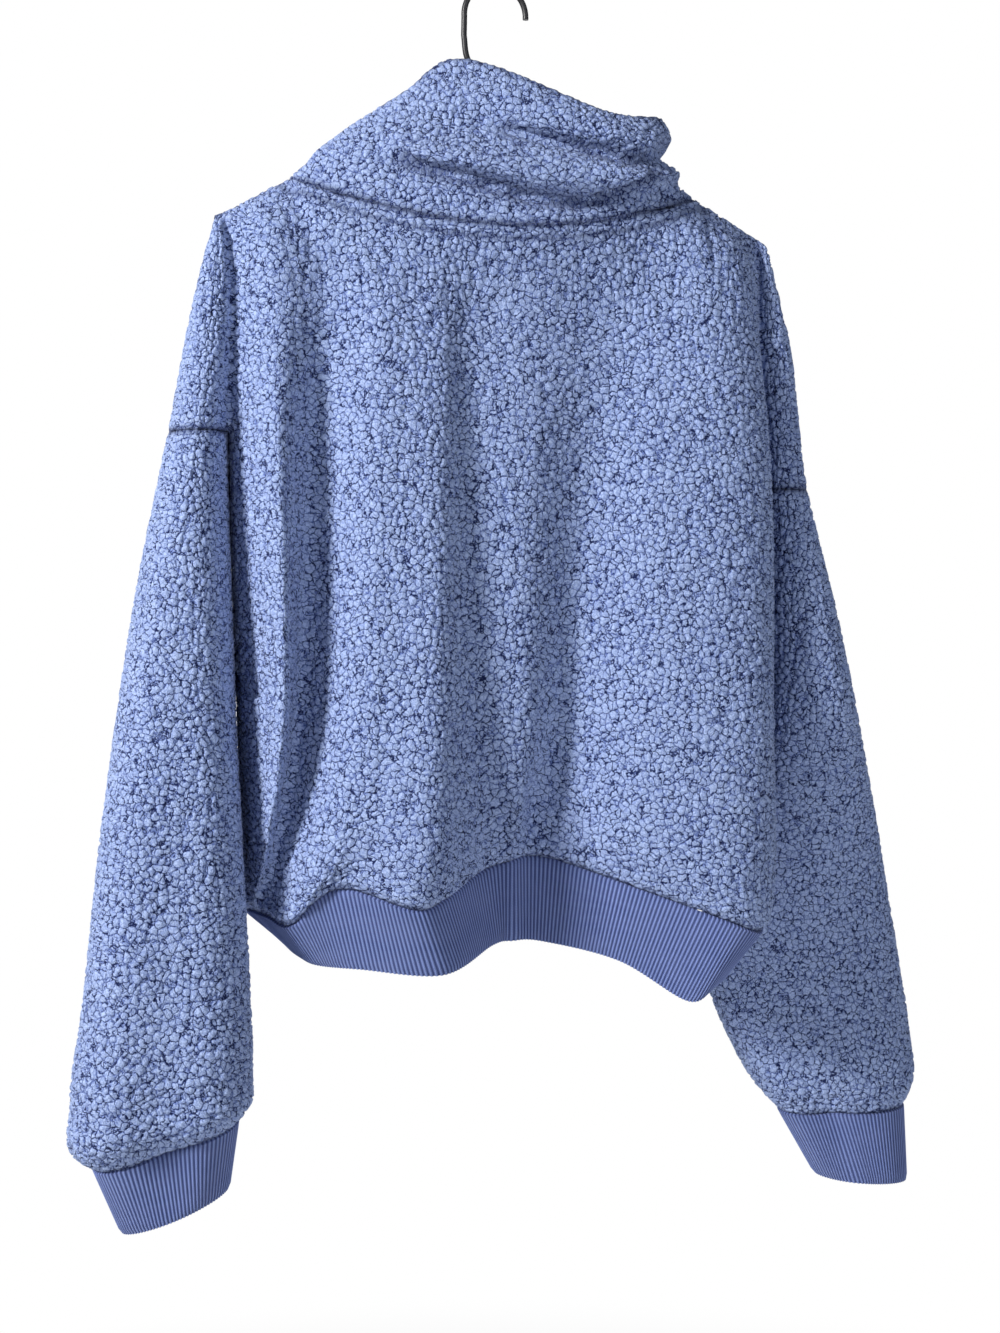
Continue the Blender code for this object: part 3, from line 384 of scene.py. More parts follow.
@dataclass(frozen=True)
class TapeFinish:
    """Woven zip tape."""

    warp: Colour = (0.150, 0.205, 0.470)
    weft: Colour = (0.100, 0.140, 0.360)
    threads: float = 9.0

    def material(self) -> bpy.types.Material:
        """The tape's material."""
        made, graph, shader = new_material("zip_tape")
        across, _, down = graph.parts(graph.millimetres())
        weave = (across * self.threads).sine() * (down * self.threads).sine()
        graph.join(graph.mixed(weave.ramp(-0.6, 0.6), self.weft, self.warp), shader.inputs["Base Color"])
        set_sockets(shader, {"Roughness": 0.75})
        graph.bump(shader, weave, 0.3, 0.3 * MM)
        return made


@dataclass(frozen=True)
class CoatedFinish:
    """A slightly uneven coat, moulding or casting: the hanger's black coat, the zip's teeth and its metal."""

    name: str
    colour: Colour
    roughness: float
    metallic: float = 0.0
    grain: float = 0.25
    unevenness: float = 0.2

    def material(self) -> bpy.types.Material:
        """The coat's material."""
        made, graph, shader = new_material(self.name)
        place = graph.millimetres()
        wear = graph.term(graph.noise(place, self.grain, 4.0).outputs["Fac"])
        lighter = tuple(min(1.0, part * 1.5 + 0.01) for part in self.colour)
        graph.join(graph.mixed(wear.ramp(0.35, 0.75), self.colour, lighter), shader.inputs["Base Color"])
        least = self.roughness - self.unevenness / 2
        graph.join(wear * self.unevenness + least, shader.inputs["Roughness"])
        set_sockets(shader, {"Metallic": self.metallic})
        graph.bump(shader, graph.noise(place, 2.0, 3.0).outputs["Fac"], 0.15, 0.2 * MM)
        return made


def new_material(name: str) -> tuple[bpy.types.Material, Graph, bpy.types.Node]:
    """A new material.

    Args:
        name: its name.

    Returns:
        The material, its graph and its Principled node.
    """
    made = bpy.data.materials.new(name)
    made.use_nodes = True
    graph = Graph(made.node_tree)
    return made, graph, made.node_tree.nodes["Principled BSDF"]


def set_sockets(shader: bpy.types.Node, values: dict[str, Any]) -> None:
    """Sets the sockets of a shader whose values are the same all over."""
    for name, value in values.items():
        shader.inputs[name].default_value = value


class Fold(NamedTuple):
    """A line down the body: where a ridge or valley passes each level, and the hem band's foot."""

    name: str
    top_x: float
    yoke_x: float
    yoke_y: float
    seam_x: float
    seam_y: float
    under_x: float
    under_y: float
    low_x: float
    low_y: float
    hem_x: float
    hem_y: float
    hem_z: float
    foot_x: float
    foot_y: float
    foot_z: float

    def at(self, level: int) -> tuple[float, float]:
        """Where the line passes a level: 1 at the yoke, 2 at the seam, 3 under the arm, 4 low."""
        return self[2 * level], self[2 * level + 1]


BACK_FOLDS = (
    Fold("left edge", -181, -171, -11, -174, -13, -170, 0, -170, 21, -167, 22, -600, -138, 10, -620),
    Fold("armhole ridge", -158, -146, -30, -147, -50, -146, -60, -157, -40, -164, 6, -599, -136, -4, -623),
    Fold("left valley", -136, -113, -24, -121, -28, -131, -28, -146, -26, -157, -14, -599, -131, -18, -626),
    Fold("left panel", -92, -84, -36, -92, -52, -103, -62, -124, -60, -142, -42, -601, -122, -32, -628),
    Fold("left dimple", -70, -64, -37, -70, -57, -80, -70, -94, -72, -112, -58, -577, -98, -48, -628),
    Fold("left ridge", -46, -42, -36, -46, -57, -50, -74, -54, -82, -60, -76, -589, -46, -62, -631),
    Fold("centre valley", -18, -20, -30, -26, -44, -22, -52, -14, -42, -12, -32, -573, -6, -24, -621),
    Fold("centre ridge", 20, 20, -30, 14, -44, 11, -50, 7, -42, 8, -28, -567, 8, -18, -620),
    Fold("long valley", 60, 70, -25, 56, -32, 42, -32, 27, -20, 30, -22, -567, 28, -18, -621),
    Fold("right panel", 98, 104, -30, 98, -48, 90, -60, 84, -58, 86, -46, -586, 76, -34, -633),
    Fold("right ridge", 136, 140, -35, 142, -54, 142, -68, 140, -72, 142, -64, -606, 118, -50, -658),
    Fold("right corner", 158, 167, -27, 175, -42, 174, -54, 173, -58, 170, -54, -615, 138, -44, -652),
    Fold("right edge", 181, 179, -9, 185, -11, 186, 0, 183, -25, 176, -34, -611, 150, -28, -648),
)
FRONT_FOLDS = (
    Fold("left edge", -181, -171, 11, -174, 13, -170, 0, -170, 21, -167, 22, -600, -138, 10, -620),
    Fold("left armhole ridge", -158, -150, 26, -152, 42, -150, 48, -152, 56, -148, 50, -594, -126, 30, -626),
    Fold("left shoulder", -136, -116, 22, -122, 28, -122, 32, -120, 40, -118, 52, -588, -108, 42, -630),
    Fold("left chest", -92, -84, 32, -86, 48, -88, 60, -88, 70, -86, 68, -588, -80, 54, -632),
    Fold("left valley", -48, -44, 30, -46, 38, -46, 44, -46, 48, -44, 50, -584, -42, 44, -630),
    Fold("zip left", -4, -4, 34, -4, 46, -4, 56, -4, 62, -4, 58, -586, -4, 46, -630),
    Fold("zip right", 4, 4, 34, 4, 46, 4, 56, 4, 62, 4, 58, -586, 4, 46, -630),
    Fold("right valley", 48, 44, 30, 46, 38, 44, 44, 44, 50, 44, 52, -587, 42, 42, -632),
    Fold("right chest", 92, 86, 32, 88, 46, 86, 54, 84, 56, 84, 46, -596, 80, 36, -638),
    Fold("right shoulder", 136, 120, 24, 124, 30, 124, 34, 122, 24, 120, 12, -604, 112, 10, -646),
    Fold("right armhole ridge", 158, 156, 22, 160, 28, 160, 22, 160, -4, 154, -14, -609, 136, -12, -650),
    Fold("right edge", 181, 179, 9, 185, 13, 186, 0, 183, -25, 176, -34, -611, 150, -28, -648),
)


class SleeveSection(NamedTuple):
    """A section across a sleeve at one height."""

    z: float
    inner_x: float
    outer_x: float
    back_y: float
    front_y: float
    tilt: float


LEFT_SLEEVE = (
    SleeveSection(-153, -181, -181, 0, 0, 0),
    SleeveSection(-156, -175.5, -182, -6, 6, 0),
    SleeveSection(-162, -173, -183.5, -11, 10, 0),
    SleeveSection(-176, -170, -188, -16, 14, 0),
    SleeveSection(-200, -168, -194, -20, 18, 0),
    SleeveSection(-290, -170, -212, -38, 32, 0),
    SleeveSection(-396, -170, -234, -52, 42, 0),
    SleeveSection(-457, -170, -244, -58, 42, 0),
    SleeveSection(-545, -168, -257, -68, 20, 0),
    SleeveSection(-645, -164, -269, -74, 14, 0.05),
    SleeveSection(-700, -163, -277, -76, 14, 0.15),
    SleeveSection(-727, -165, -275, -72, 12, 0.24),
    SleeveSection(-737, -172, -263, -62, 8, 0.29),
)
RIGHT_SLEEVE = (
    SleeveSection(-156, 181, 181, 0, 0, 0),
    SleeveSection(-159, 178.5, 184, -6, 6, 0),
    SleeveSection(-166, 177, 187, -10, 11, 0),
    SleeveSection(-182, 175, 191, -14, 16, 0),
    SleeveSection(-215, 174, 200, -18, 22, 0),
    SleeveSection(-323, 178, 216, -24, 38, 0),
    SleeveSection(-398, 182, 235, -32, 44, 0),
    SleeveSection(-470, 187, 252, -34, 46, 0),
    SleeveSection(-508, 185, 265, -22, 58, 0),
    SleeveSection(-545, 177, 279, -6, 70, 0),
    SleeveSection(-610, 162, 298, 12, 84, 0),
    SleeveSection(-667, 165, 311, 18, 90, 0),
    SleeveSection(-712, 183, 319, 20, 92, 0),
    SleeveSection(-750, 207, 321, 20, 92, 0.02),
    SleeveSection(-766, 222, 315, 28, 86, 0.02),
)


class Crease(NamedTuple):
    """A long dent down a sleeve, at a turn round its section."""

    turn: float
    width: float
    top_z: float
    bottom_z: float
    top_depth: float
    bottom_depth: float


LEFT_CREASES = (Crease(92, 26, -380, -730, 2, 9), Crease(240, 30, -420, -730, 2, 7))
RIGHT_CREASES = (Crease(66, 24, -520, -760, 2, 9), Crease(250, 30, -420, -760, 2, 7))


class CuffEnd(NamedTuple):
    """The open end of a cuff."""

    centre_x: float
    centre_y: float
    centre_z: float
    half_x: float
    half_y: float
    tilt: float


class Stand(NamedTuple):
    """The collar's middle and top at one turn round the neck."""

    turn: float
    middle_x: float
    middle_y: float
    middle_z: float
    top_x: float
    top_y: float
    top_z: float
    slouch: float


COLLAR = (
    Stand(0, -114, 6, -110, -92, 18, -94, 0.1),
    Stand(45, -90, -22, -106, -60, -6, -69, 0.0),
    Stand(90, -8, -38, -106, -22, -17, -50, 0.35),
    Stand(135, 78, -38, -118, 66, -30, -81, 1.0),
    Stand(180, 116, 0, -110, 116, 2, -80, 0.6),
    Stand(225, 94, 52, -136, 90, 62, -103, 0.5),
    Stand(270, 4, 68, -158, 10, 88, -116, 0.2),
    Stand(315, -80, 50, -138, -62, 68, -106, 0.1),
)


class Roll(NamedTuple):
    """A roll of the collar over a crease, whose line is given by turns and shares of the height."""

    line: tuple[tuple[float, float], ...]
    bulge: float
    dent: float
    droop: float
    reach: float


ROLLS = (
    Roll(((61, 0.40), (68, 0.35), (83, 0.30), (98, 0.23), (115, 0.20), (124, 0.26), (137, 0.42), (150, 0.52)),
         8.5, 6.5, 5.0, 9.5),
    Roll(((96, 0.60), (108, 0.61), (122, 0.63), (135, 0.67), (152, 0.69)), 4.5, 5.5, 2.5, 6.5),
)


def smooth_curve(knots: Array | Sequence, at: Array | Sequence, closed: bool = False) -> Array:
    """Reads a smooth curve through knots.

    Args:
        knots: the knots, one a row.
        at: parameters, counted in knots.
        closed: whether the curve returns to its first knot.

    Returns:
        One reading for each parameter.
    """
    knots, at = np.asarray(knots, float), np.asarray(at, float)
    count = len(knots)
    if closed:
        slopes, last = (np.roll(knots, -1, 0) - np.roll(knots, 1, 0)) / 2, count - 1
    else:
        slopes, last = np.gradient(knots, axis=0), count - 2
    low = np.clip(np.floor(at).astype(int), 0, last)
    share = (at - low).reshape((-1,) + (1,) * (knots.ndim - 1))
    high = (low + 1) % count
    square, cube = share**2, share**3
    return ((2 * cube - 3 * square + 1) * knots[low] + (cube - 2 * square + share) * slopes[low]
            + (3 * square - 2 * cube) * knots[high] + (cube - square) * slopes[high])


def read_table(value: float, keys: Sequence[float], rows: Sequence) -> Array:
    """A smooth reading of table rows at a key.

    Args:
        value: the key to read at.
        keys: each row's key, rising.
        rows: the table.

    Returns:
        The row at that key.
    """
    rows, keys = np.asarray(rows, float), np.asarray(keys, float)
    slopes = np.gradient(rows, keys, axis=0)
    low = int(np.clip(np.searchsorted(keys, value) - 1, 0, len(keys) - 2))
    width = keys[low + 1] - keys[low]
    share = (value - keys[low]) / width
    square, cube = share**2, share**3
    return ((2 * cube - 3 * square + 1) * rows[low] + (cube - 2 * square + share) * width * slopes[low]
            + (3 * square - 2 * cube) * rows[low + 1] + (cube - square) * width * slopes[low + 1])


@dataclass(frozen=True)
class Sampling:
    """How finely the skin is drawn: coarse cells for the inside, each cut into steps on the pile side."""

    steps: int = 4
    level_rows: tuple[int, ...] = (8, 14, 23, 15, 7)
    back_columns: tuple[int, ...] = (12, 45, 10)
    front_columns: tuple[int, ...] = (10, 20, 1, 20, 10)
    sleeve_columns: int = 48
    sleeve_rows: int = 45
    collar_rows: int = 20
    tape_rows: int = 8


@dataclass
class JacketForm:
    """The jacket's outer surface, as grids of points in millimetres."""

    sampling: Sampling = Sampling()
    tip_x: float = 181.0
    neck_x: float = 136.0
    tip_z: tuple[float, float] = (-153.0, -156.0)
    neck_z: tuple[float, float] = (-128.0, -131.0)
    neck_depth: dict[str, float] = field(default_factory=lambda: {"back": -40.0, "front": 48.0})
    neck_drop: dict[str, float] = field(default_factory=lambda: {"back": 29.0, "front": 72.0})
    shoulder_round: float = 30.0
    shoulder_reach: float = 25.0
    tip_opening: float = 0.35
    underarm_closing: int = 4
    level_z: tuple[tuple[float, float], ...] = (
        (-153.0, -156.0), (-200.0, -215.0), (-290.0, -323.0), (-457.0, -470.0))
    low_share: float = 0.68
    yoke_dip: dict[str, float] = field(default_factory=lambda: {"back": 6.0, "front": 46.0})
    seam_dip: dict[str, float] = field(default_factory=lambda: {"back": 0.0, "front": 12.0})
    seam_level: int = 2
    underarm_level: int = 3
    hem_roll: float = 4.5
    roll_rows: float = 0.15
    boxiness: float = 0.88
    armhole_turn: float = 50.0
    armhole_spread: float = 1.2
    armhole_blend: float = 0.2
    underarm_blend: float = 60.0
    row_crowding: float = 1.25
    crease_fade: float = 80.0
    station_turn: float = 45.0
    slouch: tuple[float, ...] = (0.0, -3.0, 9.0, -5.0, 8.0, 0.0)
    zip_width: float = 8.0
    roll_fade: float = 8.0
    roll_foot: float = 0.12
    dent_under: float = 0.5
    dent_width: float = 0.6
    even_levels: tuple[int, ...] = (2, 3, 4)
    even_points: int = 600
    cloth_wall: float = 2.8
    creases: list[Array] = field(default_factory=list)
    back_stops: tuple[int, ...] = (0, 2, 10, 12)
    front_stops: tuple[int, ...] = (0, 2, 5, 6, 9, 11)
    cuffs: dict[Side, CuffEnd] = field(default_factory=lambda: {
        Side.LEFT: CuffEnd(-212, -24, -781, 34, 23, 0.36), Side.RIGHT: CuffEnd(284, 56, -818, 35, 22, -0.10)})

    def rows(self) -> Array:
        """The fine rows from the top to the hem seam, counted in levels, closer near the shoulder."""
        rows = [0.0]
        for level, count in enumerate(self.sampling.level_rows):
            shares = np.arange(1, count * self.sampling.steps + 1) / (count * self.sampling.steps)
            rows += list(shares**2 if level == 0 else level + shares)
        return np.array(rows)

    def columns(self, folds: Sequence[Fold], stops: Sequence[int], counts: Sequence[int]) -> Array:
        """The fine columns across a panel, counted in folds and evenly spaced along the cloth.

        Args:
            folds: the panel's fold lines.
            stops: the folds that a coarse column must meet.
            counts: the coarse columns between them.

        Returns:
            The columns' parameters.
        """
        dense = np.linspace(0, len(folds) - 1, self.even_points)
        run = np.zeros(len(dense))
        for level in self.even_levels:
            line = smooth_curve([fold.at(level) for fold in folds], dense)
            run[1:] += np.cumsum(np.linalg.norm(np.diff(line, axis=0), axis=1))
        columns = [0.0]
        for start, end, count in zip(stops, stops[1:], counts):
            fine = count * self.sampling.steps
            low, high = np.interp([start, end], dense, run)
            columns += list(np.interp(low + (high - low) * np.arange(1, fine) / fine, run, dense))
            columns.append(float(end))
        return np.array(columns)

    def neck_point(self, x: float, side: str) -> tuple[float, float]:
        """Depth and height of the neck seam or shoulder seam at x, on the back or the front."""
        share = (x / self.tip_x + 1) / 2
        tip = self.tip_z[0] + (self.tip_z[1] - self.tip_z[0]) * share
        neck = self.neck_z[0] + (self.neck_z[1] - self.neck_z[0]) * share
        if abs(x) >= self.neck_x:
            return 0.0, neck + (tip - neck) * (abs(x) - self.neck_x) / (self.tip_x - self.neck_x)
        bow = math.sqrt(1 - (x / self.neck_x) ** 2)
        return self.neck_depth[side] * bow, neck - self.neck_drop[side] * bow**2

    def body_knots(self, folds: Sequence[Fold], side: str) -> Array:
        """Where each fold line passes each level: an array of levels, folds and x, y, z."""
        levels = [[(fold.top_x, *self.neck_point(fold.top_x, side)) for fold in folds]]
        for index, (left, right) in enumerate(self.level_z[1:], start=1):
            dip = {1: self.yoke_dip[side], 2: self.seam_dip[side]}.get(index, 0.0)
            row = []
            for fold in folds:
                share = (fold.top_x + self.tip_x) / (2 * self.tip_x)
                bow = max(0.0, 1 - (fold.top_x / self.neck_x) ** 2)
                row.append((*fold.at(index), left + (right - left) * share - dip * bow))
            levels.append(row)
        levels.append([(fold.low_x, fold.low_y, z + (fold.hem_z - z) * self.low_share)
                       for fold, (_, _, z) in zip(folds, levels[self.underarm_level])])
        levels.append([(fold.hem_x, fold.hem_y, fold.hem_z) for fold in folds])
        return np.array(levels, float)

    def body_row(self, knots: Array, row: float, side: str) -> Array:
        """The fold points of one row, with the cloth rounded over the shoulder near the top."""
        points = smooth_curve(knots, [row])[0]
        if 0 < row < 1:
            sign = -1 if side == "back" else 1
            over_shoulder = np.clip(1 - np.abs(knots[0][:, 1]) / self.shoulder_reach, 0, 1)
            points[1:-1, 1] += (sign * self.shoulder_round * math.sqrt(row) * (1 - row) * over_shoulder)[1:-1]
            for edge in (0, -1):
                tip, yoke = knots[0][edge, :2], knots[1][edge, :2]
                points[edge, :2] = tip + (yoke - tip) * row**self.tip_opening
        elif self.seam_level < row < self.underarm_level:
            closing = (row - self.seam_level) ** self.underarm_closing
            seam, under = knots[self.seam_level][[0, -1], 1], knots[self.underarm_level][[0, -1], 1]
            points[[0, -1], 1] = seam * (1 - closing) + under * closing
        return points

    def whole_ring(self, back_points: Array, front_points: Array) -> tuple[Array, Array]:
        """One row of the body all round, read at the columns of the back and of the front."""
        ring = np.concatenate([back_points, front_points[-2:0:-1]])
        turned = np.where(self.front_columns > 0, len(ring) - self.front_columns, 0.0)
        back_row = smooth_curve(ring, self.back_columns, closed=True)
        front_row = smooth_curve(ring, turned, closed=True)
        front_row[0], front_row[-1] = back_row[0], back_row[-1]
        return back_row, front_row

    @staticmethod
    def ring_inset(points: Array, distance: float) -> Array:
        """A closed level ring moved inwards in its own plane."""
        ahead = np.roll(points, -1, 0) - np.roll(points, 1, 0)
        inward = np.stack([-ahead[:, 1], ahead[:, 0], np.zeros(len(points))], 1)
        inward /= np.linalg.norm(inward, axis=1)[:, None] + TINY
        if np.sum(inward * (points.mean(0) - points)) < 0:
            inward = -inward
        return points + inward * distance

    def top_row(self, folds: Sequence[Fold], columns: Array, side: str) -> Array:
        """The points along the shoulder seams and the neck seam."""
        across = np.interp(columns, range(len(folds)), [fold.top_x for fold in folds])
        return np.array([(x, *self.neck_point(x, side)) for x in across])

    def body(self) -> tuple[Array, Array]:
        """Outer points of the back and the front, as rows of columns from the left edge to the right."""
        self.back_columns = self.columns(BACK_FOLDS, self.back_stops, self.sampling.back_columns)
        self.front_columns = self.columns(FRONT_FOLDS, self.front_stops, self.sampling.front_columns)
        knots = {"back": self.body_knots(BACK_FOLDS, "back"), "front": self.body_knots(FRONT_FOLDS, "front")}
        columns = {"back": self.back_columns, "front": self.front_columns}
        folds = {"back": BACK_FOLDS, "front": FRONT_FOLDS}
        change = {}
        for side in knots:
            top = self.top_row(folds[side], columns[side], side)
            change[side] = top - smooth_curve(knots[side][0], columns[side])
        rows = self.rows()
        back, front = [], []
        for row in rows:
            points = {side: self.body_row(knots[side], row, side) for side in knots}
            if row < self.underarm_level:
                fade = max(0.0, 1 - row) ** 2
                back_row = smooth_curve(points["back"], columns["back"]) + change["back"] * fade
                front_row = smooth_curve(points["front"], columns["front"]) + change["front"] * fade
            else:
                back_row, front_row = self.whole_ring(points["back"], points["front"])
            roll = max(0.0, (row - rows[-1] + self.roll_rows) / self.roll_rows)
            if roll > 0:
                whole = self.ring_inset(np.concatenate([back_row, front_row[-2:0:-1]]), self.hem_roll * roll)
                corner = len(back_row)
                back_row = whole[:corner]
                front_row = np.concatenate([whole[:1], whole[corner:][::-1], whole[corner - 1:corner]])
            back.append(back_row)
            front.append(front_row)
        return np.array(back), np.array(front)

    def sleeve_ring(self, side: Side, z: float, shares: Array, turn_in: float = 0.0) -> Array:
        """Points round a sleeve at one height, from its inner side over the back and outside to the front."""
        table, creases = (LEFT_SLEEVE, LEFT_CREASES) if side is Side.LEFT else (RIGHT_SLEEVE, RIGHT_CREASES)
        inner_x, outer_x, back_y, front_y, tilt = read_table(-z, [-section.z for section in table],
                                                             [section[1:] for section in table])
        centre_x, centre_y = (inner_x + outer_x) / 2, (back_y + front_y) / 2
        half_x, half_y = abs(outer_x - inner_x) / 2, (front_y - back_y) / 2
        turns = turn_in + shares * (2 * math.pi - 2 * turn_in)
        reach = np.ones(len(turns))
        for crease in creases:
            depth = np.interp(-z, [-crease.top_z, -crease.bottom_z], [crease.top_depth, crease.bottom_depth])
            if z > crease.top_z:
                depth *= max(0.0, 1 - (z - crease.top_z) / self.crease_fade)
            away = (np.degrees(turns) - crease.turn) / crease.width
            reach -= depth / max(half_y, 1.0) * np.exp(-(away**2))
        across, along = np.cos(turns), np.sin(turns)
        x = centre_x - side.value * half_x * reach * np.sign(across) * np.abs(across) ** self.boxiness
        y = centre_y - half_y * reach * np.sign(along) * np.abs(along) ** self.boxiness
        return np.stack([x, y, z + tilt * (x - centre_x)], 1)

    def sleeve(self, side: Side, back_edge: Array, front_edge: Array) -> Array:
        """Outer points of a sleeve from its tip to the cuff seam, open to the body above the underarm."""
        shares = np.linspace(0, 1, self.sampling.sleeve_columns * self.sampling.steps + 1)
        table = LEFT_SLEEVE if side is Side.LEFT else RIGHT_SLEEVE
        grid: list[Array] = []
        for row, back_point, front_point in zip(self.rows(), back_edge, front_edge):
            if row > self.underarm_level:
                break
            if row == 0:
                grid.append(np.repeat(back_point[None], len(shares), 0))
                continue
            open_share = min(1.0, (self.underarm_level - row) * self.armhole_spread)
            turn_in = math.radians(self.armhole_turn) * open_share
            ring = self.sleeve_ring(side, back_point[2], shares, turn_in)
            near_back = np.clip(1 - shares / self.armhole_blend, 0, 1)[:, None] ** 2
            ring = ring + near_back * (back_point - ring[0]) + near_back[::-1] * (front_point - ring[-1])
            ring[:, 2] = back_point[2]
            ring[0], ring[-1] = back_point, front_point
            grid.append(ring)
        underarm, bottom_z = grid[-1][0], table[-1].z
        count = self.sampling.sleeve_rows * self.sampling.steps
        for share in np.arange(1, count + 1) / count:
            z = underarm[2] + (bottom_z - underarm[2]) * (1 - (1 - share) ** self.row_crowding)
            ring = self.sleeve_ring(side, z, shares)
            close = max(0.0, 1 - (underarm[2] - z) / self.underarm_blend) ** 2
            fade = np.clip(1 - np.minimum(shares, 1 - shares) / self.armhole_blend, 0, 1)[:, None] ** 2
            ring = ring + close * fade * np.array([underarm[0] - ring[0][0], underarm[1] - ring[0][1], 0.0])
            ring[-1] = ring[0]
            grid.append(ring)
        return np.array(grid)

    def collar(self, back_top: Array, front_top: Array) -> tuple[Array, int]:
        """The collar's outer points from the neck seam up, and the coarse column where the zip runs."""
        inside = [np.abs(row[:, 0]) <= self.neck_x + 0.01 for row in (back_top, front_top)]
        neck_back, neck_front = back_top[inside[0]], front_top[inside[1]]
        ring = np.concatenate([neck_back, neck_front[-2::-1]])
        turn = np.degrees(np.arccos(np.clip(-ring[:, 0] / self.neck_x, -1, 1)))
        turn[len(neck_back):] = 360 - turn[len(neck_back):]
        stations = np.array([stand[1:] for stand in COLLAR], float)
        read = smooth_curve(stations, turn / self.station_turn, closed=True)
        middles, tops, lean = read[:, :3], read[:, 3:6], np.clip(read[:, 6:], 0, 1)
        rows = []
        for share in np.linspace(0, 1, self.sampling.collar_rows * self.sampling.steps + 1):
            points = smooth_curve(np.array([ring, middles, tops]), [2 * share])[0]
            out = points - points.mean(0)
            out[:, 2] = 0
            out /= np.linalg.norm(out, axis=1)[:, None]
            rows.append(points + out * lean * smooth_curve(self.slouch, [share * (len(self.slouch) - 1)])[0])
        collar = np.array(rows)
        self._roll_collar(collar, turn)
        collar[:, -1] = collar[:, 0]
        zip_column = sum(self.sampling.back_columns[1:2]) + sum(self.sampling.front_columns[3:4])
        self._square_zip(collar, zip_column * self.sampling.steps)
        return collar, zip_column

    def _roll_collar(self, collar: Array, turn: Array) -> None:
        """Presses the creases into the back of the collar and lets a roll hang over each."""
        shares = np.linspace(0, 1, len(collar))[:, None]
        height = np.linalg.norm(collar[-1] - collar[0], axis=1)
        out = collar - collar.mean(1)[:, None]
        out[..., 2] = 0
        out /= np.linalg.norm(out, axis=2)[..., None]
        foot = np.clip(shares / self.roll_foot, 0, 1)
        for roll in ROLLS:
            turns, levels = np.array(roll.line).T
            line = np.interp(turn, turns, levels)
            away = (shares - line) * height
            ends = np.clip(np.minimum(turn - turns[0], turns[-1] - turn) / (2 * self.roll_fade) + 0.5, 0, 1)
            bulge = np.exp(-((away / roll.reach - 1) ** 2)) * foot * ends
            dent = np.exp(-((away / roll.reach + self.dent_under) / self.dent_width) ** 2) * foot * ends
            collar += out * (roll.bulge * bulge - roll.dent * dent)[..., None]
            collar[..., 2] -= roll.droop * bulge
            columns = np.flatnonzero((turn > turns[0]) & (turn < turns[-1]))
            pressed = line[columns] - self.dent_under * roll.reach / height[columns]
            rows = np.round(pressed * (len(collar) - 1)).astype(int)
            self.creases.append(collar[rows, columns])

    def _square_zip(self, collar: Array, start: int) -> None:
        """Keeps the collar's zip columns one width apart, easing into the cloth beside them."""
        steps = self.sampling.steps
        end = start + steps
        shares = np.arange(1, steps) / steps
        for index in range(1, len(collar)):
            row = collar[index]
            centre, across = (row[start] + row[end]) / 2, row[end] - row[start]
            across = across * self.zip_width / 2 / np.linalg.norm(across)
            change = centre - across - row[start], centre + across - row[end]
            row[start], row[end] = centre - across, centre + across
            row[start + 1:end] = row[start] + (row[end] - row[start]) * shares[:, None]
            row[start - steps + 1:start] += change[0] * shares[:, None]
            row[end + 1:end + steps] += change[1] * shares[::-1, None]

    def foot(self) -> tuple[Array, Array]:
        """The lower edge of the hem band, at the columns of the back and of the front."""
        knots = [np.array([(fold.foot_x, fold.foot_y, fold.foot_z) for fold in folds], float)
                 for folds in (BACK_FOLDS, FRONT_FOLDS)]
        return self.whole_ring(*knots)

    def around_from_zip(self, back_row: Array, front_row: Array) -> Array:
        """A row of the body as one line from the left side of the zip over the back to its right side."""
        left = sum(self.sampling.front_columns[:2]) * self.sampling.steps
        right = left + self.sampling.steps
        return np.concatenate([front_row[left::-1], back_row[1:], front_row[-2:right - 1:-1]])

    def cuff_foot(self, side: Side) -> Array:
        """The lower edge of a cuff, as many points round it as its sleeve has."""
        cuff = self.cuffs[side]
        turns = np.linspace(0, 2 * math.pi, self.sampling.sleeve_columns * self.sampling.steps + 1)
        x = cuff.centre_x - side.value * cuff.half_x * np.cos(turns)
        y = cuff.centre_y - cuff.half_y * np.sin(turns)
        foot = np.stack([x, y, cuff.centre_z + cuff.tilt * (x - cuff.centre_x)], 1)
        foot[-1] = foot[0]
        return foot


@dataclass
class Patch:
    """A grid of skin points whose coarse cells each belong to one panel."""

    grid: Array
    panel_of: Callable[[int, int], Panel]
    outside: Callable[[Array], Array]
    ids: Array = field(default_factory=lambda: np.zeros((0, 0), int))
    flip: bool = False

    def cells(self, steps: int) -> tuple[Array, Array]:
        """The corners of each cell at a step, and its place in the grid of cells."""
        ids = self.ids[::steps, ::steps]
        corners = np.stack([ids[:-1, :-1], ids[:-1, 1:], ids[1:, 1:], ids[1:, :-1]], -1)
        if self.flip:
            corners = corners[..., ::-1]
        return corners.reshape(-1, 4), np.indices(corners.shape[:2]).reshape(2, -1).T


@dataclass
class Shell:
    """A closed wall of cloth: places in metres, faces, and what the relief and the colour need to know."""

    places: Array
    faces: list[list[int]]
    pile: Array
    # How dark the colour is painted at each point: dark seam lines, and painted shade in grooves and creases.
    seam: Array


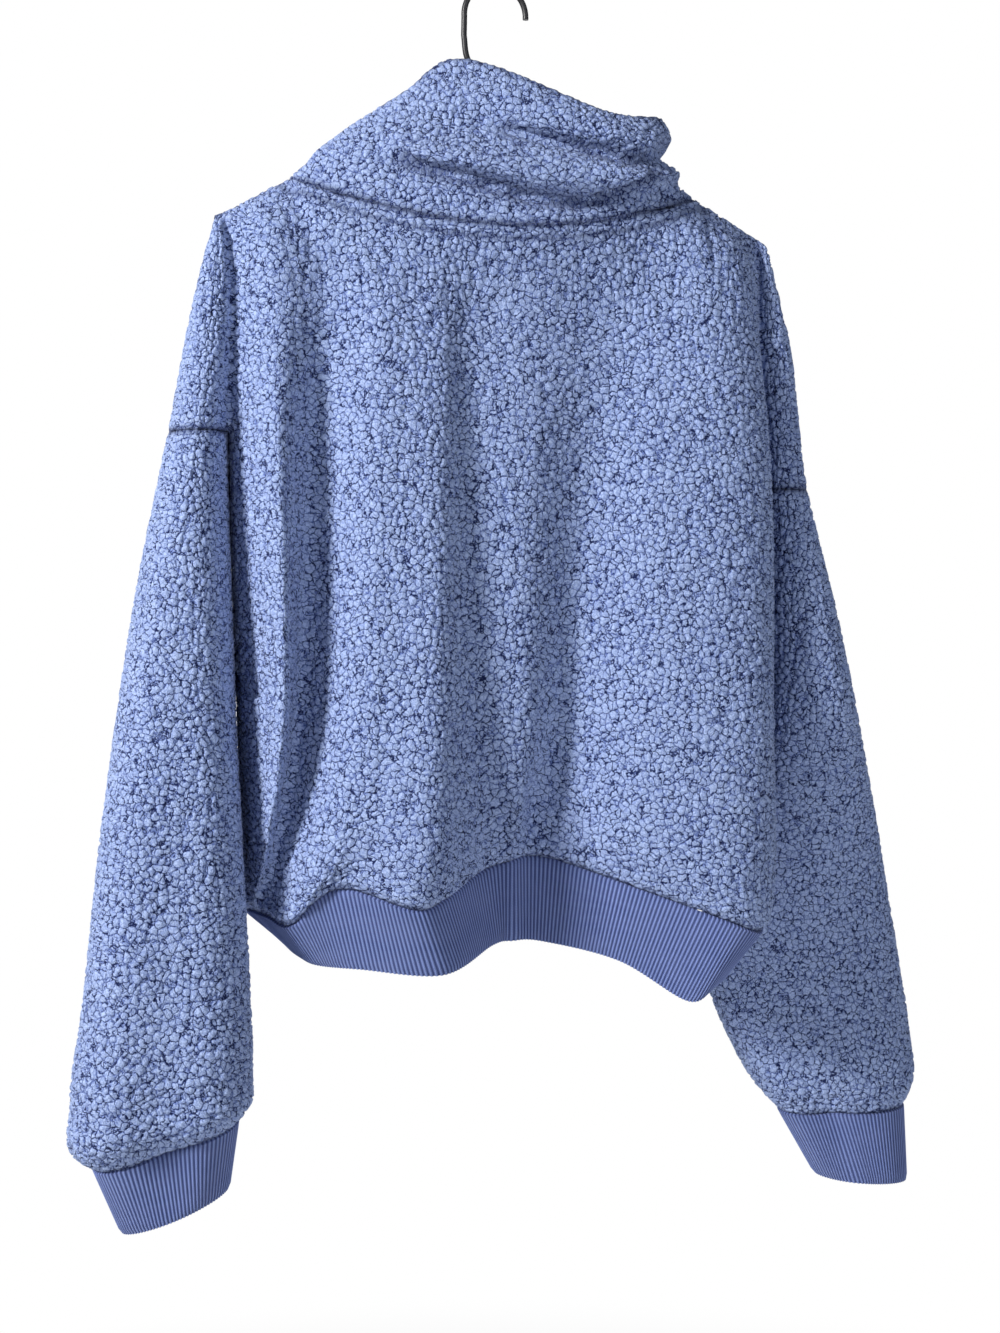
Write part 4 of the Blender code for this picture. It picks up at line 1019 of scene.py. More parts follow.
@dataclass
class Skin:
    """The jacket's outer surface: patches with shared points, from which each panel's shell is cut."""

    steps: int
    wall_share: float = 0.4
    pinch_wall: float = 0.8
    pinch_slope: float = 0.12
    thinning: float = 0.8
    thinning_rounds: int = 12
    inside_share: float = 0.3
    seam_gap: float = 0.3
    seam_dip: float = 1.1
    seam_reach: float = 2.6
    line_shade: float = 0.85
    line_depth: float = 0.9
    dip_share: float = 0.4
    seam_flat: float = 0.6
    thinnest: float = 0.3
    lean_stride: int = 5
    pile_height: float = 1.7
    pile_share: float = 0.72
    ray_start: float = 0.5
    patches: list[Patch] = field(default_factory=list)
    pinched: list[Array] = field(default_factory=list)
    downward: list[Array] = field(default_factory=list)

    def add(self, patch: Patch) -> None:
        """Adds a patch."""
        self.patches.append(patch)

    def weld(self, thickness: float) -> None:
        """Joins the patches' shared points, turns every face outwards and works out the wall's depth.

        Args:
            thickness: the cloth's full wall.
        """
        flat = np.concatenate([patch.grid.reshape(-1, 3) for patch in self.patches])
        _, first, inverse = np.unique(np.round(flat, SHARED_DIGITS) + 0.0, axis=0, return_index=True,
                                      return_inverse=True)
        self.points = flat[first]
        inverse = inverse.reshape(-1)
        start = 0
        for patch in self.patches:
            count = patch.grid.shape[0] * patch.grid.shape[1]
            patch.ids = inverse[start:start + count].reshape(patch.grid.shape[:2])
            start += count
            patch.flip = self._leans_in(patch)
        self.normals = self._normals()
        self._measure_depths(thickness)

    def _leans_in(self, patch: Patch) -> bool:
        """Whether a patch's faces point inwards."""
        corners, _ = patch.cells(self.steps)
        lean = 0.0
        for cell in corners[::self.lean_stride]:
            places = self.points[cell]
            area = np.cross(places[2] - places[0], places[3] - places[1])
            lean += float(area @ patch.outside(places.mean(0)))
        return lean < 0

    def _normals(self) -> Array:
        """The outward direction at each point."""
        total = np.zeros_like(self.points)
        for patch in self.patches:
            corners, _ = patch.cells(1)
            places = self.points[corners]
            area = np.cross(places[:, 2] - places[:, 0], places[:, 3] - places[:, 1])
            for corner in range(4):
                for axis in range(3):
                    total[:, axis] += np.bincount(corners[:, corner], area[:, axis], len(total))
        total /= np.linalg.norm(total, axis=1)[:, None] + TINY
        for place in self.downward:
            total[np.argmin(np.sum((self.points - place) ** 2, 1))] = (0, 0, -1)
        return total

    def _measure_depths(self, thickness: float) -> None:
        """The wall's depth at each point: less where other cloth is near or the cloth turns tightly."""
        cells = np.concatenate([patch.cells(self.steps)[0] for patch in self.patches])
        cells = cells[(cells[:, 0] != cells[:, 2]) & (cells[:, 1] != cells[:, 3])]
        used = np.unique(cells)
        tree = BVHTree.FromPolygons([Vector(place) for place in self.points], [list(cell) for cell in cells])
        depth = np.full(len(self.points), thickness)
        for index in used:
            place, normal = self.points[index], self.normals[index]
            hit = tree.ray_cast(Vector(place - normal * self.ray_start), Vector(-normal))
            if hit[0] is not None:
                depth[index] = min(thickness, self.wall_share * hit[3])
        for place in self.pinched:
            near = self.pinch_wall + self.pinch_slope * np.linalg.norm(self.points - place, axis=1)
            depth = np.minimum(depth, near)
        outside = self._facing(self.points, cells)
        for _ in range(self.thinning_rounds):
            inside = self._facing(self.points - self.normals * depth[:, None], cells)
            tight = np.sum(inside * outside, 1) < self.inside_share * np.sum(outside**2, 1)
            depth[np.unique(cells[tight])] *= self.thinning
        self.depth = depth
        for patch in self.patches:
            self._spread(patch)

    @staticmethod
    def _facing(places: Array, cells: Array) -> Array:
        """Each cell's area direction."""
        return np.cross(places[cells[:, 2]] - places[cells[:, 0]], places[cells[:, 3]] - places[cells[:, 1]])

    def _spread(self, patch: Patch) -> None:
        """Reads the coarse points' depths at the fine points between them."""
        coarse = self.depth[patch.ids[::self.steps, ::self.steps]]
        down = np.arange(patch.ids.shape[0]) / self.steps
        across = np.arange(patch.ids.shape[1]) / self.steps
        rows = np.stack([np.interp(across, range(coarse.shape[1]), line) for line in coarse])
        fine = np.stack([np.interp(down, range(coarse.shape[0]), line) for line in rows.T], 1)
        self.depth[patch.ids] = fine

    def _sides(self, patch: Patch, row: int, column: int) -> list[list[int]]:
        """The fine points along a coarse cell's four sides, in the order in which its face runs."""
        s = self.steps
        block = patch.ids[row * s:(row + 1) * s + 1, column * s:(column + 1) * s + 1]
        sides = [block[0], block[:, -1], block[-1, ::-1], block[::-1, 0]]
        if patch.flip:
            sides = [side[::-1] for side in reversed(sides)]
        return [list(map(int, side)) for side in sides]

    def shell(self, panel: Panel, sink: float = 0.0,
              lines: Sequence[tuple[Array, float, float]] = ()) -> Shell:
        """Cuts one panel's wall out of the skin: fine outside, coarse inside, closed along its rims.

        Args:
            panel: the panel.
            sink: how far the whole outside lies below the skin.
            lines: stitched or pressed lines, each a row of points, the distance from them at which it runs,
                and its width to each side.

        Returns:
            The panel's shell.
        """
        fine, coarse, seen = [], [], {}
        for patch in self.patches:
            corners, cells = patch.cells(self.steps)
            mine = np.array([patch.panel_of(int(row), int(column)) == panel for row, column in cells])
            if not mine.any():
                continue
            shape = tuple(cells[-1] + 1)
            mask = mine.reshape(shape)
            coarse.append(corners[mine])
            wide = np.repeat(np.repeat(mask, self.steps, 0), self.steps, 1)
            fine.append(patch.cells(1)[0][wide.reshape(-1)])
            padded = np.pad(mask, 1)
            buried = padded[:-2, 1:-1] & padded[2:, 1:-1] & padded[1:-1, :-2] & padded[1:-1, 2:]
            for row, column in np.argwhere(mask & ~buried):
                for side in self._sides(patch, int(row), int(column)):
                    if side[0] != side[-1]:
                        seen.setdefault(frozenset((side[0], side[-1])), []).append(side)
        border = [sides[0] for sides in seen.values() if len(sides) == 1]
        inner_edges = {frozenset(pair) for cells in coarse for pair in self._edges_twice(cells)}
        border = [side for side in border if frozenset((side[0], side[-1])) not in inner_edges]
        return self._close(np.concatenate(fine), np.concatenate(coarse), border, sink, lines)

    @staticmethod
    def _edges_twice(cells: Array) -> list[tuple[int, int]]:
        """The edges that two of these cells share."""
        edges = np.sort(np.concatenate([cells[:, [corner, (corner + 1) % 4]] for corner in range(4)]), 1)
        found, uses = np.unique(edges, axis=0, return_counts=True)
        return [tuple(map(int, edge)) for edge in found[uses > 1]]

    def _close(self, fine: Array, coarse: Array, border: list[list[int]], sink: float,
               lines: Sequence[tuple[Array, float, float]]) -> Shell:
        """Joins a panel's outside and inside into one closed wall."""
        outer_ids = np.unique(fine)
        inner_ids = np.unique(coarse)
        outer_of = np.full(len(self.points), -1)
        inner_of = np.full(len(self.points), -1)
        outer_of[outer_ids] = np.arange(len(outer_ids))
        inner_of[inner_ids] = np.arange(len(inner_ids)) + len(outer_ids)
        pull = np.zeros_like(self.points)
        for side in border:
            for start, end in zip(side, side[1:]):
                if start == end:
                    continue
                along = self.points[end] - self.points[start]
                along = along / (np.linalg.norm(along) + TINY)
                for corner in (start, end):
                    pull[corner] += np.cross(self.normals[corner], along)
        length = np.linalg.norm(pull, axis=1)[:, None]
        pull = np.where(length > TINY, pull / (length + TINY), 0.0) * self.seam_gap / 2
        seam_points = self.points[np.unique(np.concatenate(border))]
        near = self._nearness(outer_ids, seam_points, 0.0, self.seam_reach)
        groove = near.copy()
        for points, distance, reach in lines:
            near_line = self._nearness(outer_ids, points, distance, reach)
            groove = np.maximum(groove, self.line_depth * near_line)
        depth = self.depth[outer_ids]
        pile = np.minimum(self.pile_height, depth * self.pile_share) * (1 - self.seam_flat * groove)
        dip = np.minimum(self.seam_dip, depth * self.dip_share) * groove + sink
        outer = self.points[outer_ids] + pull[outer_ids] - self.normals[outer_ids] * dip[:, None]
        wall = np.maximum(self.depth[inner_ids], self.thinnest)[:, None]
        inner = self.points[inner_ids] + pull[inner_ids] - self.normals[inner_ids] * (wall + sink)
        faces = [tidy_face(face) for face in outer_of[fine].tolist()]
        faces += [tidy_face(face) for face in inner_of[coarse][:, ::-1].tolist()]
        for side in border:
            faces += self._rim([int(outer_of[point]) for point in side], int(inner_of[side[0]]),
                               int(inner_of[side[-1]]))
        count = len(inner_ids)
        # Dark seam lines, and painted shade along the stitched lines and the collar's creases.
        seam = np.maximum(near, self.line_shade * groove)
        return Shell(np.concatenate([outer, inner]) * MM, [face for face in faces if len(face) > 2],
                     np.concatenate([pile * MM, np.zeros(count)]), np.concatenate([seam, np.zeros(count)]))

    @staticmethod
    def _rim(outer: list[int], first: int, last: int) -> list[list[int]]:
        """Triangles from a side's fine points to the two inner points at its ends."""
        half = len(outer) // 2
        faces = [[outer[half], first, last]]
        for step in range(len(outer) - 1):
            faces.append([outer[step + 1], outer[step], first if step < half else last])
        return faces

    def _nearness(self, ids: Array, line: Array, distance: float, reach: float) -> Array:
        """How near each point is to the set distance from a line: 1 there, and fading over the reach."""
        tree = KDTree(len(line))
        for index, place in enumerate(line):
            tree.insert(Vector(place), index)
        tree.balance()
        away = np.array([tree.find(Vector(place))[2] for place in self.points[ids]])
        return np.exp(-((away - distance) / reach) ** 2)


def tidy_face(face: list[int]) -> list[int]:
    """A face without repeated corners."""
    return list(dict.fromkeys(face))


def draw_skin(form: JacketForm) -> tuple[Skin, dict[str, Any]]:
    """Draws the whole jacket.

    Args:
        form: the jacket's form.

    Returns:
        The skin, and the lines that the rib bands, the zip and the stitching continue from.
    """
    sampling = form.sampling
    skin = Skin(sampling.steps)
    back, front = form.body()
    seam_row = sum(sampling.level_rows[:2])
    zip_column = sum(sampling.front_columns[:2])

    def front_panel(_: int, column: int) -> Panel:
        """The front's panel at a column."""
        return (Panel.FRONT_LEFT if column < zip_column else Panel.ZIP if column == zip_column
                else Panel.FRONT_RIGHT)

    skin.add(Patch(back, lambda row, column: Panel.BACK, lambda place: np.array([0, -1.0, 0])))
    skin.add(Patch(front, front_panel, lambda place: np.array([0, 1.0, 0])))
    sleeves = {}
    for side in Side:
        edge = 0 if side is Side.LEFT else -1
        grid = form.sleeve(side, back[:, edge], front[:, edge])
        axis = grid.mean(1)

        def sleeve_panel(row: int, column: int, side: Side = side) -> Panel:
            """The sleeve grid's panel at a cell: the drop shoulder above the seam belongs to the body."""
            left = side is Side.LEFT
            if row >= seam_row:
                return Panel.SLEEVE_LEFT if left else Panel.SLEEVE_RIGHT
            if column < sampling.sleeve_columns // 2:
                return Panel.BACK
            return Panel.FRONT_LEFT if left else Panel.FRONT_RIGHT

        def away(place: Array, axis: Array = axis, side: Side = side, push: float = 5.0) -> Array:
            """The way out of a sleeve at a place, pushed a little towards the sleeve's own side."""
            nearest = axis[np.argmin(np.abs(axis[:, 2] - place[2]))]
            return np.array([place[0] - nearest[0] + side.value * push, place[1] - nearest[1], 0])

        skin.add(Patch(grid, sleeve_panel, away))
        sleeves[side] = grid
        underarm = back[sum(sampling.level_rows[:3]) * sampling.steps, edge]
        skin.downward.append(underarm)
        skin.pinched += [underarm, grid[0][0]]
    collar, collar_zip = form.collar(back[0], front[0])
    middle = collar.mean(1)

    def round_neck(place: Array) -> Array:
        """The way out of the collar at a place."""
        nearest = middle[np.argmin(np.abs(middle[:, 2] - place[2]))]
        return np.array([place[0] - nearest[0], place[1] - nearest[1], 0])

    skin.add(Patch(collar, lambda row, column: Panel.ZIP if column == collar_zip else Panel.COLLAR,
                   round_neck))
    foot_back, foot_front = form.foot()
    zip_points = slice(zip_column * sampling.steps, (zip_column + 1) * sampling.steps + 1)
    shares = np.linspace(0, 1, sampling.tape_rows * sampling.steps + 1)
    tape = np.array([front[-1][zip_points] * (1 - share) + foot_front[zip_points] * share
                     for share in shares])
    skin.add(Patch(tape, lambda row, column: Panel.ZIP, lambda place: np.array([0, 1.0, 0])))
    skin.weld(form.cloth_wall)
    lines = {
        "hem": form.around_from_zip(back[-1], front[-1]),
        "foot": form.around_from_zip(foot_back, foot_front),
        "neck": np.array(collar[0]),
        "creases": form.creases,
        "sleeves": sleeves,
        "zip": zip_path(front, collar, tape, (zip_column, collar_zip), sampling.steps),
    }
    return skin, lines


def zip_path(front: Array, collar: Array, tape: Array, columns: tuple[int, int], steps: int) -> Array:
    """The zip's centre line from the collar's top to the hem band's foot.

    Args:
        front: the front's points.
        collar: the collar's points.
        tape: the points of the tape between the hem band's ends.
        columns: the coarse columns of the zip, on the front and on the collar.
        steps: the fine columns in a coarse one.

    Returns:
        The line's points.
    """
    on_front, on_collar = (column * steps + steps // 2 for column in columns)
    return np.concatenate([collar[::-1, on_collar], front[1:, on_front], tape[1:, steps // 2]])


class TreeInput(NamedTuple):
    """A named input of a geometry tree, with its value where it isn't set."""

    name: str
    kind: str
    value: Any


class GeometryTool:
    """A Geometry Nodes tree with named inputs, applied to an object and baked into its mesh."""

    def __init__(self, name: str, inputs: Sequence[TreeInput]) -> None:
        """Starts a tree.

        Args:
            name: the tree's name.
            inputs: its inputs after the geometry.
        """
        self.tree = bpy.data.node_groups.new(name, "GeometryNodeTree")
        self.graph = Graph(self.tree)
        self.inputs = tuple(inputs)
        self.tree.interface.new_socket("Geometry", in_out="INPUT", socket_type="NodeSocketGeometry")
        for entry in self.inputs:
            socket = self.tree.interface.new_socket(entry.name, in_out="INPUT", socket_type=entry.kind)
            if entry.value is not None:
                socket.default_value = entry.value
        self.tree.interface.new_socket("Geometry", in_out="OUTPUT", socket_type="NodeSocketGeometry")
        self.entry = self.tree.nodes.new("NodeGroupInput").outputs
        self.exit = self.tree.nodes.new("NodeGroupOutput").inputs

    def finish(self, geometry: bpy.types.NodeSocket) -> None:
        """Ends the tree in Realize Instances and Set Material."""
        real = self.graph.node("GeometryNodeRealizeInstances", None, {0: geometry})
        dressed = self.graph.node("GeometryNodeSetMaterial", None,
                                  {0: real.outputs[0], "Material": self.entry["Material"]})
        self.tree.links.new(dressed.outputs[0], self.exit[0])

    def raised(self, geometry: bpy.types.NodeSocket, amount: Term) -> bpy.types.NodeSocket:
        """A geometry whose points are moved along their normals."""
        normal = self.graph.node("GeometryNodeInputNormal").outputs[0]
        offset = self.graph.scaled(normal, amount)
        node = self.graph.node("GeometryNodeSetPosition", None, {"Geometry": geometry, "Offset": offset})
        return node.outputs[0]

    def attribute(self, name: str, kind: str = "FLOAT") -> bpy.types.NodeSocket:
        """A named attribute of the geometry."""
        node = self.graph.node("GeometryNodeInputNamedAttribute", {"data_type": kind}, {"Name": name})
        return node.outputs[0]

    def apply(self, obj: bpy.types.Object, **values: Any) -> bpy.types.Object:
        """Runs the tree on an object and keeps the result as its plain mesh.

        Args:
            obj: the object.
            values: the tree's inputs, by name with spaces as underscores.

        Returns:
            The same object with its new mesh.
        """
        modifier = obj.modifiers.new(self.tree.name, "NODES")
        modifier.node_group = self.tree
        for item in self.tree.interface.items_tree:
            key = item.name.replace(" ", "_")
            if item.in_out == "INPUT" and key in values:
                modifier[item.identifier] = values[key]
        bpy.context.view_layer.update()
        baked = bpy.data.meshes.new_from_object(obj.evaluated_get(bpy.context.evaluated_depsgraph_get()))
        obj.modifiers.remove(modifier)
        old = obj.data
        obj.data = baked
        bpy.data.meshes.remove(old)
        baked.name = obj.name
        return obj


def pile_tool(clumps: ClumpField) -> GeometryTool:
    """The tree that sinks the cracks between the pile's clumps.

    Args:
        clumps: the pattern of the clumps.

    Returns:
        The tool; its input Unevenness is how much the clumps' heights differ.
    """
    tool = GeometryTool("pile_relief", (TreeInput("Unevenness", "NodeSocketFloat", 0.3),
                                        TreeInput("Material", "NodeSocketMaterial", None)))
    graph = tool.graph
    position = graph.node("GeometryNodeInputPosition").outputs[0]
    kept = graph.node("GeometryNodeStoreNamedAttribute", {"data_type": "FLOAT_VECTOR", "domain": "POINT"},
                      {"Geometry": tool.entry["Geometry"], "Name": "rest", "Value": position})
    edge, tone, _ = clumps.build(graph, position)
    sunk = (1.0 - edge.ramp(0.0, clumps.dome)) + tone * graph.term(tool.entry["Unevenness"])
    amount = sunk * graph.term(tool.attribute("pile")) * -1.0
    tool.finish(tool.raised(kept.outputs[0], amount))
    return tool


def rib_tool() -> GeometryTool:
    """The tree that raises the ribs of a knitted band by its attribute knit."""
    tool = GeometryTool("rib_relief", (TreeInput("Rise", "NodeSocketFloat", 0.0007),
                                       TreeInput("Material", "NodeSocketMaterial", None)))
    across, _, face = tool.graph.parts(tool.attribute("knit", "FLOAT_VECTOR"))
    rib = ((across * (2 * math.pi)).sine() * 0.5 + 0.5) ** 0.7
    amount = rib * face * tool.graph.term(tool.entry["Rise"])
    tool.finish(tool.raised(tool.entry["Geometry"], amount))
    return tool


def row_tool() -> GeometryTool:
    """The tree that sets a small form on each point of a row, turned by its attributes along and out."""
    tool = GeometryTool("row_of_forms", (TreeInput("Form", "NodeSocketObject", None),
                                         TreeInput("Material", "NodeSocketMaterial", None)))
    graph = tool.graph
    form = graph.node("GeometryNodeObjectInfo", {"transform_space": "ORIGINAL"},
                      {"Object": tool.entry["Form"]})
    turn = graph.node("FunctionNodeAxesToRotation", {"primary_axis": "Z", "secondary_axis": "Y"},
                      {0: tool.attribute("along", "FLOAT_VECTOR"), 1: tool.attribute("out", "FLOAT_VECTOR")})
    spots = graph.node("GeometryNodeMeshToPoints", None, {"Mesh": tool.entry["Geometry"]})
    placed = graph.node("GeometryNodeInstanceOnPoints", None,
                        {"Points": spots.outputs[0], "Instance": form.outputs["Geometry"],
                         "Rotation": turn.outputs[0]})
    tool.finish(placed.outputs[0])
    return tool


def wire_tool(sides: int = 20) -> GeometryTool:
    """The tree that draws a round wire with this many sides along a line of points."""
    tool = GeometryTool("wire_on_line", (TreeInput("Radius", "NodeSocketFloat", 0.0019),
                                         TreeInput("Material", "NodeSocketMaterial", None)))
    graph = tool.graph
    line = graph.node("GeometryNodeMeshToCurve", None, {"Mesh": tool.entry["Geometry"]})
    round_form = graph.node("GeometryNodeCurvePrimitiveCircle", {"mode": "RADIUS"},
                            {"Resolution": sides, "Radius": tool.entry["Radius"]})
    swept = graph.node("GeometryNodeCurveToMesh", None,
                       {"Curve": line.outputs[0], "Profile Curve": round_form.outputs[0], "Fill Caps": True})
    smooth = graph.node("GeometryNodeSetShadeSmooth", None,
                        {"Geometry": swept.outputs[0], "Shade Smooth": True})
    tool.finish(smooth.outputs[0])
    return tool


def new_object(name: str, places: Array, faces: Sequence[Sequence[int]],
               edges: Sequence[tuple[int, int]] = ()) -> bpy.types.Object:
    """A linked object at the origin.

    Args:
        name: its name.
        places: points in metres.
        faces: its faces.
        edges: loose edges, for a line.

    Returns:
        The object.
    """
    mesh = bpy.data.meshes.new(name)
    mesh.from_pydata(np.asarray(places, float).tolist(), [tuple(edge) for edge in edges], faces)
    mesh.update()
    obj = bpy.data.objects.new(name, mesh)
    bpy.context.scene.collection.objects.link(obj)
    return obj


def set_attribute(obj: bpy.types.Object, name: str, values: Array) -> None:
    """Stores a number or a vector at each point of an object's mesh."""
    values = np.asarray(values, float)
    vector = values.ndim == 2
    made = obj.data.attributes.new(name, "FLOAT_VECTOR" if vector else "FLOAT", "POINT")
    made.data.foreach_set("vector" if vector else "value", values.reshape(-1).astype(np.float32))


def smooth_out(obj: bpy.types.Object, angle: float) -> None:
    """Shades an object smooth but for edges sharper than an angle in degrees."""
    obj.data.shade_smooth()
    obj.data.set_sharp_from_angle(angle=math.radians(angle))


class Cut(NamedTuple):
    """A piece of cloth as it is cut flat, in metres and square metres."""

    width: float
    length: float
    area: float

    def lay(self, cloth: bpy.types.Object) -> None:
        """Takes a piece of this cut, which hangs from the hanger, and does nothing with it."""


@dataclass
class PileCloth:
    """The sherpa panels: back, fronts, sleeves and collar."""

    finish: SherpaFinish = SherpaFinish()
    unevenness: float = 0.25
    stitch_distance: float = 9.0
    stitch_width: float = 1.8
    crease_width: float = 6.5
    cuts: dict[Panel, Cut] = field(default_factory=lambda: {
        Panel.BACK: Cut(0.60, 0.50, 0.215),
        Panel.FRONT_LEFT: Cut(0.28, 0.50, 0.095),
        Panel.FRONT_RIGHT: Cut(0.28, 0.50, 0.095),
        Panel.SLEEVE_LEFT: Cut(0.36, 0.47, 0.120),
        Panel.SLEEVE_RIGHT: Cut(0.36, 0.47, 0.120),
        Panel.COLLAR: Cut(0.56, 0.12, 0.048),
    })

    def build(self, skin: Skin, lines: dict[str, Any]) -> list[bpy.types.Object]:
        """Makes each panel's cloth and its relief.

        Args:
            skin: the jacket's skin.
            lines: the lines for the stitching.

        Returns:
            The panels.
        """
        material, tool = self.finish.material(), pile_tool(self.finish.clumps)
        made = []
        for panel, cut in self.cuts.items():
            # The back's stitched line and the collar's creases are sunk, and darkened in colour as painted
            # shade.
            pressed = {Panel.BACK: [(lines["neck"], self.stitch_distance, self.stitch_width)],
                       Panel.COLLAR: [(line, 0.0, self.crease_width) for line in lines["creases"]]}
            shell = skin.shell(panel, lines=pressed.get(panel, []))
            cloth = new_object(f"{panel.value}_cloth", shell.places, shell.faces)
            set_attribute(cloth, "pile", shell.pile)
            set_attribute(cloth, "seam", shell.seam)
            cloth.data.shade_smooth()
            tool.apply(cloth, Unevenness=self.unevenness, Material=material)
            dress(cloth, panel.value)
            cut.lay(cloth)
            made.append(cloth)
        return made


@dataclass
class RibBand:
    """A band of rib knit between a seam and its free edge."""

    panel: Panel
    closed: bool
    cut: Cut
    pitch: float = 2.9
    wall: float = 2.0
    rise: float = 0.5
    gap: float = 0.5
    rows: int = 12
    rib_points: int = 6
    edge_round: float = 0.8
    turned_by: float = 0.5
    soft_angle: float = 60.0

    def build(self, ring: Array, foot: Array, ring_normals: Array, tool: GeometryTool,
              material: bpy.types.Material) -> bpy.types.Object:
        """Makes the band.

        Args:
            ring: the seam's line.
            foot: the free edge's line, with as many points.
            ring_normals: the skin's outward directions along the seam.
            tool: the rib tree.
            material: the knit.

        Returns:
            The band.
        """
        steps = np.linalg.norm(np.diff(ring, axis=0), axis=1)
        ribs = int(round(steps.sum() / self.pitch))
        fine = np.linspace(0, 1, ribs * self.rib_points + 1)
        shares = np.concatenate([[0], np.cumsum(steps)]) / steps.sum()
        top, bottom, facing = (read_line(values, shares, fine) for values in (ring, foot, ring_normals))
        down = (bottom - top) / np.linalg.norm(bottom - top, axis=1)[:, None]
        lower = self._facing_out(bottom, down, facing)
        facing = facing / np.linalg.norm(facing, axis=1)[:, None]
        outer, inner, knit = [], [], []
        height = np.linalg.norm(bottom - top, axis=1).mean()
        for row in range(self.rows + 1):
            share = row / self.rows
            swing = min(1.0, share / self.turned_by)
            turned = facing * (1 - swing) + lower * swing
            turned = turned / np.linalg.norm(turned, axis=1)[:, None]
            line = top + down * self.gap * (1 - share) + (bottom - top) * share
            tuck = self.edge_round * max(0.0, share * self.rows - self.rows + 1) ** 2
            outer.append(line - turned * tuck)
            inner.append(line - turned * (self.wall - tuck / 2))
            knit.append(np.stack([fine * ribs, np.full(len(fine), share * height), np.ones(len(fine))], 1))
        return self._shell(np.array(outer), np.array(inner), np.array(knit), tool, material)

    def _facing_out(self, bottom: Array, down: Array, facing: Array) -> Array:
        """The outward direction along the free edge."""
        if self.closed:
            along = np.roll(bottom[:-1], -1, 0) - np.roll(bottom[:-1], 1, 0)
            along = np.concatenate([along, along[:1]])
        else:
            along = np.gradient(bottom, axis=0)
        lower = np.cross(along, down)
        lower /= np.linalg.norm(lower, axis=1)[:, None]
        return lower * np.sign(np.sum(lower * facing, axis=1))[:, None]

    def _shell(self, outer: Array, inner: Array, knit: Array, tool: GeometryTool,
               material: bpy.types.Material) -> bpy.types.Object:
        """Closes the band's two sides into one wall and raises its ribs."""
        if self.closed:
            outer, inner, knit = outer[:, :-1], inner[:, :-1], knit[:, :-1]
        rows, columns = outer.shape[:2]
        spans = columns if self.closed else columns - 1
        start_of, column_of = np.meshgrid(np.arange(rows - 1) * columns, np.arange(spans), indexing="ij")
        after = start_of + (column_of + 1) % columns
        here = start_of + column_of
        quads = np.stack([here, after, after + columns, here + columns], -1).reshape(-1, 4)
        base = rows * columns
        faces = quads.tolist() + (quads[:, ::-1] + base).tolist()
        for row, flip in ((0, True), (rows - 1, False)):
            start = np.arange(spans) + row * columns
            end = (np.arange(spans) + 1) % columns + row * columns
            rim = np.stack([start, end, end + base, start + base], 1)
            faces += (rim[:, ::-1] if not flip else rim)[:, ::-1].tolist()
        if not self.closed:
            for column, flip in ((0, False), (columns - 1, True)):
                start = np.arange(rows - 1) * columns + column
                rim = np.stack([start, start + columns, start + columns + base, start + base], 1)
                faces += (rim[:, ::-1] if flip else rim).tolist()
        places = np.concatenate([outer.reshape(-1, 3), inner.reshape(-1, 3)]) * MM
        band = new_object(f"{self.panel.value}_knit", places, faces)
        still = knit.reshape(-1, 3).copy()
        still[:, 2] = 0.0
        set_attribute(band, "knit", np.concatenate([knit.reshape(-1, 3), still]))
        turn_outwards(band)
        smooth_out(band, self.soft_angle)
        tool.apply(band, Rise=self.rise * MM, Material=material)
        dress(band, self.panel.value)
        self.cut.lay(band)
        return band


def read_line(values: Array, shares: Array, at: Array) -> Array:
    """Reads rows of numbers, which stand at shares of a line's length, at other shares."""
    return np.stack([np.interp(at, shares, column) for column in np.asarray(values).T], 1)


def turn_outwards(obj: bpy.types.Object) -> None:
    """Points a closed mesh's faces outwards."""
    shaped = bmesh.new()
    shaped.from_mesh(obj.data)
    bmesh.ops.recalc_face_normals(shaped, faces=shaped.faces)
    if shaped.calc_volume(signed=True) < 0:
        bmesh.ops.reverse_faces(shaped, faces=shaped.faces)
    shaped.to_mesh(obj.data)
    shaped.free()


def dress(obj: bpy.types.Object, node: str, body: str = "jacket") -> None:
    """Lets an object ride on its body in place of a node."""
    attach(obj, body)
    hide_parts(node)


